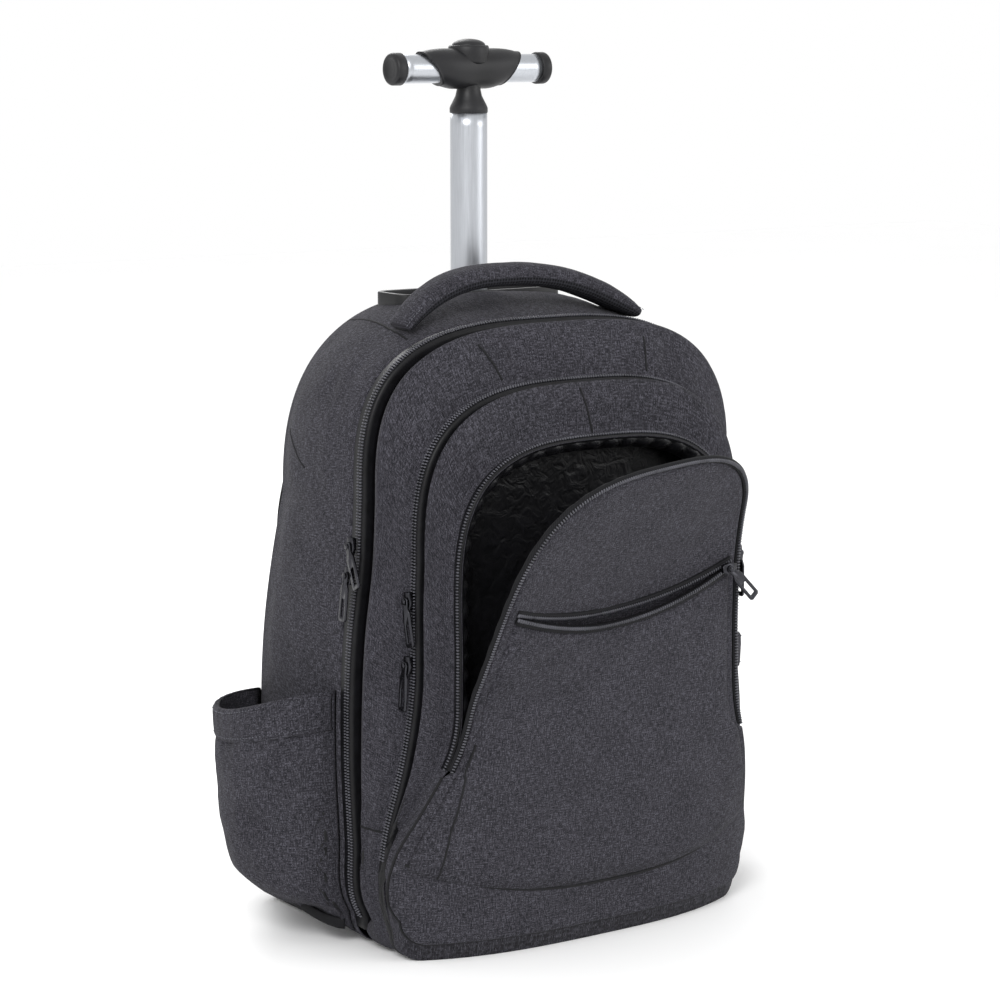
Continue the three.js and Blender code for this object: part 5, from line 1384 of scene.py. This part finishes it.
def build_trolley():
    softened("handle_tray_cup", "handle_tray", 1.4, 3, "abs", ROOT, "moulded_plastic")
    softened("pole_guide_sleeve", "trolley_sleeve", 0.3, 2, "aluminium", ROOT, "satin_aluminium")
    outer, inner = (standing(turned([(r, z) for z in np.linspace(POLE_LOW, POLE_TOP - GAP, 40)], 64))
                    for r in (POLE_R, POLE_R - POLE_WALL))
    piece = slab("pole_tube", outer, inner, [finish("aluminium")], True, slots=(0, 0, 0))
    finished(piece, TROLLEY, "satin_aluminium", "trolley_pole")
    fat = through(np.linspace(-1, 1, 41), [-1, -0.8, 0, 0.8, 1], [0.9, 1.02, 1.06, 1.02, 0.9])
    places = np.linspace(-1, 1, 41)
    ends = [(-1.0, 0.55), (-1.0, 0.8), (-1.0, 0.93)]
    sections = ends + list(zip(places * 0.985, fat)) + [(1.0, 0.93), (1.0, 0.8), (1.0, 0.55)]
    radius = lerp(GRIP_END_R, GRIP_R, 0.5)
    rings = []
    for place, thick in sections:
        flat = oval(radius * thick, radius * thick, 2.2, 48)
        slant = np.clip(flat[:, 1] / radius, -1, 1)
        x = place * lerp(GRIP_LOW_HALF, GRIP_TOP_HALF, (slant + 1) / 2)
        rings.append(np.stack([x, POLE_Y + flat[:, 0], BAR_Z + flat[:, 1]], -1))
    piece = capped("handle_grip_body", np.array(rings), [finish("abs")])
    # Well that the button sinks into
    well = arc_points((0, POLE_Y), BUTTON_R + WELL_ROOM, 0, 360, 65)[:-1]
    cut_away(piece, *prism(well, 2, WELL_FLOOR, BOSS_TOP + 20))
    finished(piece, TROLLEY, "moulded_plastic", "handle_grip")
    neck = [(0.4, 617), (12.6, 617), (14.4, 619.6), (14.9, 620.6), (14.9, 623.5), (14.2, 625.5), (12.4, 629),
            (10.4, 633), (9.3, 638), (9.2, 643), (10.0, 646), (12.0, 649), (12.0, 652), (0.4, 652)]
    heights = np.array(neck)
    piece = capped("handle_neck", standing(turned(heights, 64)), [finish("abs")])
    finished(piece, TROLLEY, "moulded_plastic")
    collar = [(13.2, 666), (13.2, 671.0), (13.5, 671.8), (14.4, 672.0), (15.2, 671.7), (15.8, 670.6),
              (16.0, 668), (16.4, 660), (14.0, 656), (13.2, 658)]
    piece = capped_ring("button_collar", standing(turned(collar + [collar[0]], 64)), [finish("abs")])
    finished(piece, TROLLEY, "moulded_plastic")
    angle = np.linspace(0, math.pi / 2, 10)
    dome = [(0.3, BOSS_TOP - 1.4), (BUTTON_R - 0.4, BOSS_TOP - 1.4), (BUTTON_R, BOSS_TOP - 1.0)]
    dome += [(max(0.3, BUTTON_R * math.cos(a)), BOSS_TOP + BUTTON_DOME * math.sin(a)) for a in angle]
    piece = capped("push_button_dome", standing(turned(dome, 48)), [finish("abs")])
    finished(piece, "button", "moulded_plastic", "push_button")
    outer, inner = (lying(turned([(r, x) for x in np.linspace(-BAR_HALF, BAR_HALF, 21)], 56))
                    for r in (BAR_R, BAR_R - BAR_WALL))
    piece = slab("cross_bar_tube", outer, inner, [finish("aluminium")], True, slots=(0, 0, 0))
    finished(piece, TROLLEY, "satin_aluminium", "cross_bar")
    for name, side in SIDES:
        start = BAR_HALF + GAP
        end = start + CAP_LENGTH
        cap = [(0.3, start - CAP_LENGTH), (9.0, start - CAP_LENGTH), (9.0, start), (CAP_R - 0.5, start),
               (CAP_R, start + 0.5)]
        cap += [(CAP_R - CAP_ROUND + CAP_ROUND * math.cos(a), end - CAP_ROUND + CAP_ROUND * math.sin(a))
                for a in angle[1:]]
        cap += [(CAP_R - 4.6, end), (CAP_R - 5.2, end - 0.6), (0.3, end - 0.6)]
        grid = lying(turned([(r, x * side) for r, x in cap], 56))
        piece = capped("bar_cap_" + name + "_plug", grid, [finish("abs")])
        finished(piece, TROLLEY, "moulded_plastic", "bar_cap_" + name)


def capped_ring(name, grid, materials):
    """Closed ring from a turned profile whose last row repeats its first."""
    points = grid[:-1].reshape(-1, 3)
    faces = surface(grid, True) % len(points)
    return make_mesh(name, points, faces, [grid_uv(grid, True)], materials)


# Base and wheels

WHEEL_R, WHEEL_WIDTH, WHEEL_Y, WHEEL_SIDES = 28, 22, 76, 96
SPOKES = 5
# Radius, and depth from the wheel's face, from the bore over the hub and the tyre to its crown
WHEEL_RIM = ((4.4, 0.6), (8, 0.4), (9, 2.4), (14.5, 4), (16, 3.6), (17, 0.6), (18, 0), (24, 0), (25.6, 0.5),
             (27, 2), (27.7, 4), (27.9, 6.5), (27.2, 7.1), (27.2, 8.1), (WHEEL_R, 8.7))


def build_base():
    softened("base_housing", "base_moulding", 1.8, 3, "abs", ROOT, "moulded_plastic")
    for name, _ in SIDES:
        low, high = box_mm("wheel_" + name)
        middle = (low[0] + high[0]) / 2
        rim = [(radius, depth - WHEEL_WIDTH / 2) for radius, depth in WHEEL_RIM]
        profile = rim + [(r, -x) for r, x in rim[::-1]]
        profile = profile + [profile[0]]
        grid = turned(profile, WHEEL_SIDES)
        angle = np.linspace(0, 2 * math.pi, WHEEL_SIDES, endpoint=False)
        spokes = np.clip(np.cos(angle * SPOKES) * 3, 0, 1)
        for k in (3, 4):
            for row in (k, len(profile) - 2 - k):
                grid[row, :, 2] += np.sign(grid[row, :, 2]) * (spokes - 1) * 2.0
        laid = np.stack([grid[..., 2] + middle, grid[..., 0] + WHEEL_Y, grid[..., 1] + WHEEL_R], -1)
        rows = len(profile) - 1
        is_hub = (np.arange(rows) < 6) | (np.arange(rows) >= rows - 7)
        points = laid[:-1].reshape(-1, 3)
        faces = surface(laid, True) % len(points)
        slots = np.repeat(np.where(is_hub, 1, 0), WHEEL_SIDES)
        piece = make_mesh("wheel_" + name + "_tyre", points, faces, [grid_uv(laid, True)],
                          [finish("rubber"), finish("abs")], slots)
        finished(piece, "wheel_" + name, "wheel_rubber", "wheel_" + name)
        softened("axle_" + name + "_pin", "axle_" + name, 0.5, 2, "aluminium", ROOT, "satin_aluminium")


# Worn back

PAD_HALF, PAD_LOW, PAD_TOP, PAD_THICK, PAD_CORNER = 138, 72, 446, 12, 34
PAD_TOP_HALF = PAD_HALF * 0.72


def pad_outline(count):
    c = PAD_CORNER
    centres = ((PAD_HALF - c, PAD_LOW + c), (PAD_TOP_HALF - c, PAD_TOP - c),
               (c - PAD_TOP_HALF, PAD_TOP - c), (c - PAD_HALF, PAD_LOW + c))
    line = np.concatenate([arc_points(centre, c, 90 * k - 90, 90 * k, 12)
                           for k, centre in enumerate(centres)])
    return evenly(np.concatenate([line, line[:1]]), count)


def pad_half(z):
    line = pad_outline(400)
    right = line[line[:, 0] > 0]
    order = np.argsort(right[:, 1])
    return np.interp(z, right[order, 1], right[order, 0])


CHANNEL_HALF = 11.0
CHANNEL_PITCH = 62.0


def build_worn_back():
    z = PAD_LOW + 0.6 + (PAD_TOP - PAD_LOW - 1.2) * (0.5 - 0.5 * np.cos(np.linspace(0, math.pi, 130)))
    half = pad_half(z)
    u = np.sin(np.linspace(-math.pi / 2, math.pi / 2, 110))
    x = u[None, :] * half[:, None]
    height = np.repeat(z[:, None], 110, 1)
    near = np.minimum.reduce([half[:, None] - np.abs(x), height - PAD_LOW, PAD_TOP - height]).clip(0)
    dome = np.sqrt(1 - (1 - np.minimum(1, near / 13)) ** 2)
    middle_channel = np.exp(-((x / CHANNEL_HALF) ** 4))
    slant = height - 0.35 * np.abs(x)
    phase = (slant - PAD_LOW) / CHANNEL_PITCH
    rung = np.exp(-(((phase - np.round(phase)) * CHANNEL_PITCH / 5.0) ** 2))
    rung *= smooth(np.abs(x), CHANNEL_HALF, 22)
    rise = PAD_THICK * dome - 5.5 * np.maximum(middle_channel, rung) * smooth(near, 4, 16)
    face = np.stack([x, BACK.y + GAP + rise, height], -1)
    pinned = (near < 8) | (middle_channel > 0.4) | (rung > 0.5)
    face = settled(face, pinned, False, 0.012, 1.2, 1.6)
    face[:, :, 1] = np.minimum(face[:, :, 1], BACK.y + GAP + PAD_THICK + 1.5)
    flat = np.stack([x, np.full_like(x, BACK.y + GAP), height], -1)
    piece = slab("back_pad", face, flat, [finish("mesh")], slots=(0, 0, 0), uv=face[:, :, [0, 2]])
    finished(piece, ROOT, "mesh_padding", "back_panel")
    line = pad_outline(260)
    path = np.insert(line, 1, BACK.y + 2.6, 1)
    along = tangents(path, True)
    depth = np.tile([0.0, 1, 0], (len(path), 1))
    out = unit(np.cross(along, depth))
    grid = swept(path, depth, out, oval(2.6, 2.2, 2.4, 12))
    grid = np.concatenate([grid, grid[:1]])
    piece = capped_ring("back_pad_binding", grid, [finish("tape")])
    finished(piece, ROOT, "mesh_padding")
    for name, side in SIDES:
        build_strap(name, side)


STRAP_ROWS = [(0, 0, 0.1), (0.06, 0.1, 0.42), (0.25, 0.35, 1), (0.55, 0.8, 1), (0.82, 1, 0.6), (1, 1, 0.2)]
STRAP_WIDTH, STRAP_FOOT_WIDTH, STRAP_THICK = 62, 36, 9
WEBBING_WIDTH, WEBBING_THICK, WEBBING_LOW = 22, 1.6, 92


def strap_line(side, count):
    back = BACK.y + 2 * GAP + PAD_THICK + STRAP_THICK / 2
    rows = [(side * (52 + 48 * spread), back + 30 * stand, lerp(436, 190, down))
            for down, spread, stand in STRAP_ROWS]
    return catmull(rows, count)


def band_frame(path):
    along = tangents(path)
    wide = unit(np.array([1.0, 0, 0]) - along * along[:, :1])
    return wide, unit(np.cross(along, wide))


def build_strap(name, side):
    count = 90
    path = strap_line(side, count)
    share = np.linspace(0, 1, count)
    wide, out = band_frame(path)
    half = lerp(STRAP_WIDTH, STRAP_FOOT_WIDTH, smooth(share, 0.55, 1)) / 2
    profiles = []
    for h in half:
        flat = oval(h - 1.0, STRAP_THICK / 2, 5.0, 44)
        groove = 1 - 0.28 * np.exp(-((np.abs(flat[:, 0]) - h * 0.62) / 2.2) ** 2)
        profiles.append(np.stack([flat[:, 0], flat[:, 1] * groove], 1))
    grid = swept(path, wide, out, np.array(profiles))
    piece = capped("strap_pad_" + name, grid, [finish("mesh")])
    finished(piece, ROOT, "mesh_padding", "shoulder_strap_" + name)
    lines = []
    for edge in (-1, 1):
        rim = path + wide * (edge * (half - 1.2))[:, None]
        grid = swept(rim, wide, out, oval(1.9, STRAP_THICK / 2 - 1.2, 2.6, 12))
        word = "inner" if edge * side < 0 else "outer"
        piece = capped("strap_binding_" + word + "_" + name, grid, [finish("tape")])
        finished(piece, ROOT, "mesh_padding")
        lines.append((path + wide * (edge * (half - 4.4))[:, None] + out * (STRAP_THICK / 2 + 0.1), out))
        lines.append((path + wide * (edge * (half - 4.4))[:, None] - out * (STRAP_THICK / 2 + 0.1), -out))
    row_of("strap_stitches_" + name, lines, 3.2, (2.3, 0.7, 0.6), "thread", ROOT, "mesh_padding")
    foot = path[-1]
    softened("adjuster_buckle_" + name, "adjuster_" + name, 0.9, 3, "abs", ROOT, "moulded_plastic")
    low, _ = box_mm("adjuster_" + name)
    low_y = BACK.y + 2 * GAP + PAD_THICK + WEBBING_THICK / 2
    rows = [(foot[0], foot[1], low[2] - GAP),
            (foot[0], lerp(foot[1], low_y, 0.5), lerp(low[2], WEBBING_LOW, 0.4)),
            (foot[0], low_y + WEBBING_THICK, WEBBING_LOW + WEBBING_WIDTH), (foot[0], low_y, WEBBING_LOW)]
    path = catmull(rows, 40)
    wide, out = band_frame(path)
    grid = swept(path, wide, out, oval(WEBBING_WIDTH / 2, WEBBING_THICK / 2, 6.0, 20))
    piece = capped("webbing_band_" + name, grid, [finish("tape")])
    finished(piece, ROOT, "black_tape", "webbing_" + name)


# Sliders and tabs

PULLS = ("1_upper", "1_lower", "2_upper", "2_lower", "3", "slip")


def build_pulls():
    for name in PULLS:
        softened("zip_slider_" + name, "slider_" + name, 0.7, 2, "zinc", ROOT, "black_metal")
        softened("zip_tab_" + name, "pull_" + name, 0.4, 2, "zinc", "tab_" + name, "black_metal")


# Seams


def on_grid(grid, rows, columns):
    """Points and outward directions on a closed grid at fractional rows and columns."""
    rows, columns = np.asarray(rows, float), np.asarray(columns, float) % grid.shape[1]
    r = np.clip(rows.astype(int), 0, grid.shape[0] - 2)
    c = columns.astype(int) % grid.shape[1]
    d = (c + 1) % grid.shape[1]
    s, t = (rows - r)[:, None], (columns - columns.astype(int))[:, None]
    low = grid[r, c] * (1 - t) + grid[r, d] * t
    high = grid[r + 1, c] * (1 - t) + grid[r + 1, d] * t
    points = low * (1 - s) + high * s
    across = grid[r, d] - grid[r, c]
    up = grid[r + 1, c] - grid[r, c]
    out = unit(np.cross(across, up) + 1e-9)
    out *= np.sign(np.einsum("ij,ij->i", out, points - grid.mean((0, 1))))[:, None]
    return points, out


def seam(name, path, out, radius, body=ROOT):
    """A dark tube sunk half into the cloth where two pieces are sewn together: painted shade of the seam's
    groove, and along the front's foot the real black piping.
    """
    along = tangents(path)
    wide = unit(np.cross(along, out))
    grid = swept(path, wide, out, oval(radius, radius * 0.7, 2.0, 8))
    return finished(capped(name, grid, [finish("seam_shade_and_piping")]), body, "heather_fabric")


# Rows and ring places that each dart or gusset seam joins, on the walls' own grids
WALL_SEAMS = {
    "rear": (("rear_side_seam", (11, 184), (18, 191)), ("rear_top_seam", (9, 159), (27, 163))),
    "middle": (("middle_left_dart", (9, 155), (17, 152)), ("middle_right_dart", (10, 117), (17, 117)),
               ("middle_foot_seam", (7, 226), (19, 226))),
    "front": (("front_top_dart", (6, 138), (12, 136)),),
}
ARC_LOW, ARC_RISE, ARC_HALF = 46.5, 26, 150


def build_seams(grids):
    base = ring(FRONT, -0.4, -0.2)
    order = np.roll(np.arange(RING), RING // 2)
    run = [i for i in order if base[i, 2] < 150]
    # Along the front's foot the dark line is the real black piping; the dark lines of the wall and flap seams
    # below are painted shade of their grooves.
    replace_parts(seam("piping_seam", base[run], ring_normals(base)[run], 1.3), "piping")
    for wall, seams in WALL_SEAMS.items():
        for name, start, end in seams:
            path, out = on_grid(grids[wall], *np.linspace(start, end, 24).T)
            seam(name, path, out, 0.9)
    x = np.linspace(-160, 160, 90)
    z = ARC_LOW + ARC_RISE * np.abs(x / ARC_HALF) ** 2.5
    path = panel_point(x, z, -0.5)
    seam("flap_foot_seam", path, unit(panel_point(x, z, -3.0) - path), 1.1)


# Studio

CAMERA_PLACE = (-1.2713, -1.8113, 0.6836)
CAMERA_AZIMUTH = math.radians(34.5)
CAMERA_PITCH = math.radians(9.206)
SENSOR = 36.0
LENS = 104.4


def build_studio(settings):
    scene = bpy.context.scene
    scene.view_settings.view_transform = "Standard"
    world = bpy.data.worlds.new("studio")
    world.use_nodes = True
    world.node_tree.nodes["Background"].inputs["Color"].default_value = (1, 1, 1, 1)
    world.node_tree.nodes["Background"].inputs["Strength"].default_value = settings.ambient
    scene.world = world
    size = 6.0
    mesh = bpy.data.meshes.new("floor")
    corners = [(-size, -size, 0), (size, -size, 0), (size, size, 0), (-size, size, 0)]
    mesh.from_pydata(corners, [], [(0, 1, 2, 3)])
    floor = bpy.data.objects.new("floor", mesh)
    scene.collection.objects.link(floor)
    material, tree, shader = new_finish("white_studio_floor", Roughness=0.6, Specular_IOR_Level=0.2)
    place = place_in_mm(tree)
    cloudy = add_node(tree, "ShaderNodeTexNoise", {"Vector": place.outputs[0], "Scale": 0.002})
    colour = ramp(tree, cloudy.outputs[0], [(0.3, linear("#fefefe")), (0.7, linear("#ffffff"))])
    tree.links.new(colour, shader.inputs["Base Color"])
    mesh.materials.append(material)
    for name, place, aim, area, power in (
            ("key_light", (-1.9, -1.6, 2.1), (0, 0, 0.3), 1.3, settings.key_power),
            ("fill_light", (1.9, -2.0, 1.2), (0, 0, 0.35), 1.6, settings.key_power * 0.4),
            ("back_light", (0.6, 2.2, 1.8), (0, 0, 0.4), 1.4, settings.key_power * 0.6)):
        lamp = bpy.data.lights.new(name, "AREA")
        lamp.shape, lamp.size, lamp.energy = "DISK", area, power
        light = bpy.data.objects.new(name, lamp)
        scene.collection.objects.link(light)
        light.location = place
        light.rotation_euler = (Vector(aim) - Vector(place)).to_track_quat("-Z", "Y").to_euler()
    camera_data = bpy.data.cameras.new("camera")
    camera_data.sensor_width, camera_data.lens = SENSOR, settings.lens
    camera_data.clip_start, camera_data.clip_end = 0.05, 50
    camera = bpy.data.objects.new("camera", camera_data)
    scene.collection.objects.link(camera)
    camera.location = CAMERA_PLACE
    flat = math.cos(CAMERA_PITCH)
    aim = Vector((math.sin(CAMERA_AZIMUTH) * flat, math.cos(CAMERA_AZIMUTH) * flat, -math.sin(CAMERA_PITCH)))
    camera.rotation_euler = aim.to_track_quat("-Z", "Y").to_euler()
    scene.camera = camera


# Add-on


class BackpackFabric(bpy.types.PropertyGroup):
    """Colours and yarn of the heather cloth"""

    dark_yarn: FloatVectorProperty(
        name="Dark yarn", description="Darkest yarn of the heather cloth", subtype="COLOR", size=4,
        min=0, max=1, default=linear("#1c1c20"))
    middle_yarn: FloatVectorProperty(
        name="Middle yarn", description="Commonest yarn of the heather cloth", subtype="COLOR", size=4,
        min=0, max=1, default=linear("#302f34"))
    pale_yarn: FloatVectorProperty(
        name="Pale yarn", description="Palest yarn of the heather cloth", subtype="COLOR", size=4,
        min=0, max=1, default=linear("#53525a"))
    yarn_pitch: FloatProperty(
        name="Yarn pitch", description="Distance between drawn yarns", subtype="DISTANCE",
        unit="LENGTH", min=0.0004, max=0.004, default=0.001)


class BackpackZips(bpy.types.PropertyGroup):
    """Sizes of the zips' coils"""

    tooth_pitch: FloatProperty(
        name="Tooth pitch", description="Distance between a coil's teeth", subtype="DISTANCE",
        unit="LENGTH", min=0.001, max=0.005, default=COIL_PITCH * MM)


class BackpackStudio(bpy.types.PropertyGroup):
    """Light and camera of the studio"""

    ambient: FloatProperty(
        name="Ambient", description="Strength of the white surroundings", min=0, max=4, default=1.0)
    key_power: FloatProperty(
        name="Key light", description="Power of the main soft light", subtype="POWER", unit="POWER",
        min=0, max=500, default=45)
    lens: FloatProperty(
        name="Lens", description="Focal length of the camera", subtype="DISTANCE_CAMERA",
        unit="CAMERA", min=20, max=300, default=LENS)


class BACKPACK_OT_compartments(bpy.types.Operator):
    """Sews the padded walls of the three compartments, with their seams"""

    bl_idname = "backpack.compartments"
    bl_label = "Compartments"

    def execute(self, context):
        build_seams(build_compartments())
        return {"FINISHED"}


class BACKPACK_OT_zips(bpy.types.Operator):
    """Lays the tapes and coils of the two closed zips"""

    bl_idname = "backpack.zips"
    bl_label = "Zips"

    def execute(self, context):
        build_zips(context.scene.backpack_zips)
        return {"FINISHED"}


class BACKPACK_OT_flap(bpy.types.Operator):
    """Folds the open front flap down, with its zip and lining"""

    bl_idname = "backpack.flap"
    bl_label = "Front Flap"

    def execute(self, context):
        build_flap()
        return {"FINISHED"}


class BACKPACK_OT_slip_pocket(bpy.types.Operator):
    """Sews the drooping slip pocket on the flap"""

    bl_idname = "backpack.slip_pocket"
    bl_label = "Slip Pocket"

    def execute(self, context):
        build_slip_pocket()
        return {"FINISHED"}


class BACKPACK_OT_side_pockets(bpy.types.Operator):
    """Gathers the two side pockets under their elastic hems"""

    bl_idname = "backpack.side_pockets"
    bl_label = "Side Pockets"

    def execute(self, context):
        build_side_pockets()
        return {"FINISHED"}


class BACKPACK_OT_grab_handle(bpy.types.Operator):
    """Makes the padded grab handle on top"""

    bl_idname = "backpack.grab_handle"
    bl_label = "Grab Handle"

    def execute(self, context):
        build_grab_handle()
        return {"FINISHED"}


class BACKPACK_OT_trolley(bpy.types.Operator):
    """Makes the trolley's tray, pole, grip, bar and button"""

    bl_idname = "backpack.trolley"
    bl_label = "Trolley"

    def execute(self, context):
        build_trolley()
        return {"FINISHED"}


class BACKPACK_OT_base(bpy.types.Operator):
    """Makes the base moulding, the wheels and their axles"""

    bl_idname = "backpack.base"
    bl_label = "Base and Wheels"

    def execute(self, context):
        build_base()
        return {"FINISHED"}


class BACKPACK_OT_worn_back(bpy.types.Operator):
    """Makes the back pad, the shoulder straps, their buckles and webbing"""

    bl_idname = "backpack.worn_back"
    bl_label = "Worn Back"

    def execute(self, context):
        build_worn_back()
        return {"FINISHED"}


class BACKPACK_OT_pulls(bpy.types.Operator):
    """Makes the zips' sliders and tabs"""

    bl_idname = "backpack.pulls"
    bl_label = "Sliders and Tabs"

    def execute(self, context):
        build_pulls()
        return {"FINISHED"}


class BACKPACK_OT_studio(bpy.types.Operator):
    """Sets up the floor, the lights and the camera"""

    bl_idname = "backpack.studio"
    bl_label = "Studio"

    def execute(self, context):
        build_studio(context.scene.backpack_studio)
        return {"FINISHED"}


STEPS_IN_ORDER = (
    BACKPACK_OT_studio, BACKPACK_OT_compartments, BACKPACK_OT_zips, BACKPACK_OT_flap,
    BACKPACK_OT_slip_pocket, BACKPACK_OT_side_pockets, BACKPACK_OT_grab_handle, BACKPACK_OT_trolley,
    BACKPACK_OT_base, BACKPACK_OT_worn_back, BACKPACK_OT_pulls)
SETTINGS = (
    (BackpackFabric, "backpack_fabric"), (BackpackZips, "backpack_zips"),
    (BackpackStudio, "backpack_studio"))


class BACKPACK_PT_panel(bpy.types.Panel):
    """Lists the backpack's settings and pieces"""

    bl_idname = "BACKPACK_PT_panel"
    bl_label = "Wheeled Backpack"
    bl_space_type = "VIEW_3D"
    bl_region_type = "UI"
    bl_category = "Backpack"

    def draw(self, context):
        for group, name in SETTINGS:
            box = self.layout.box()
            values = getattr(context.scene, name)
            for prop in group.__annotations__:
                box.prop(values, prop)
        for step in STEPS_IN_ORDER:
            self.layout.operator(step.bl_idname)


def register():
    for group, name in SETTINGS:
        bpy.utils.register_class(group)
        setattr(bpy.types.Scene, name, PointerProperty(type=group))
    for step in STEPS_IN_ORDER + (BACKPACK_PT_panel,):
        bpy.utils.register_class(step)


def unregister():
    for step in (BACKPACK_PT_panel,) + STEPS_IN_ORDER[::-1]:
        bpy.utils.unregister_class(step)
    for group, name in SETTINGS[::-1]:
        delattr(bpy.types.Scene, name)
        bpy.utils.unregister_class(group)


def main():
    register()
    for step in STEPS_IN_ORDER:
        operator = getattr(bpy.ops.backpack, step.bl_idname.split(".")[1])
        operator()


if __name__ == "__main__":
    main()
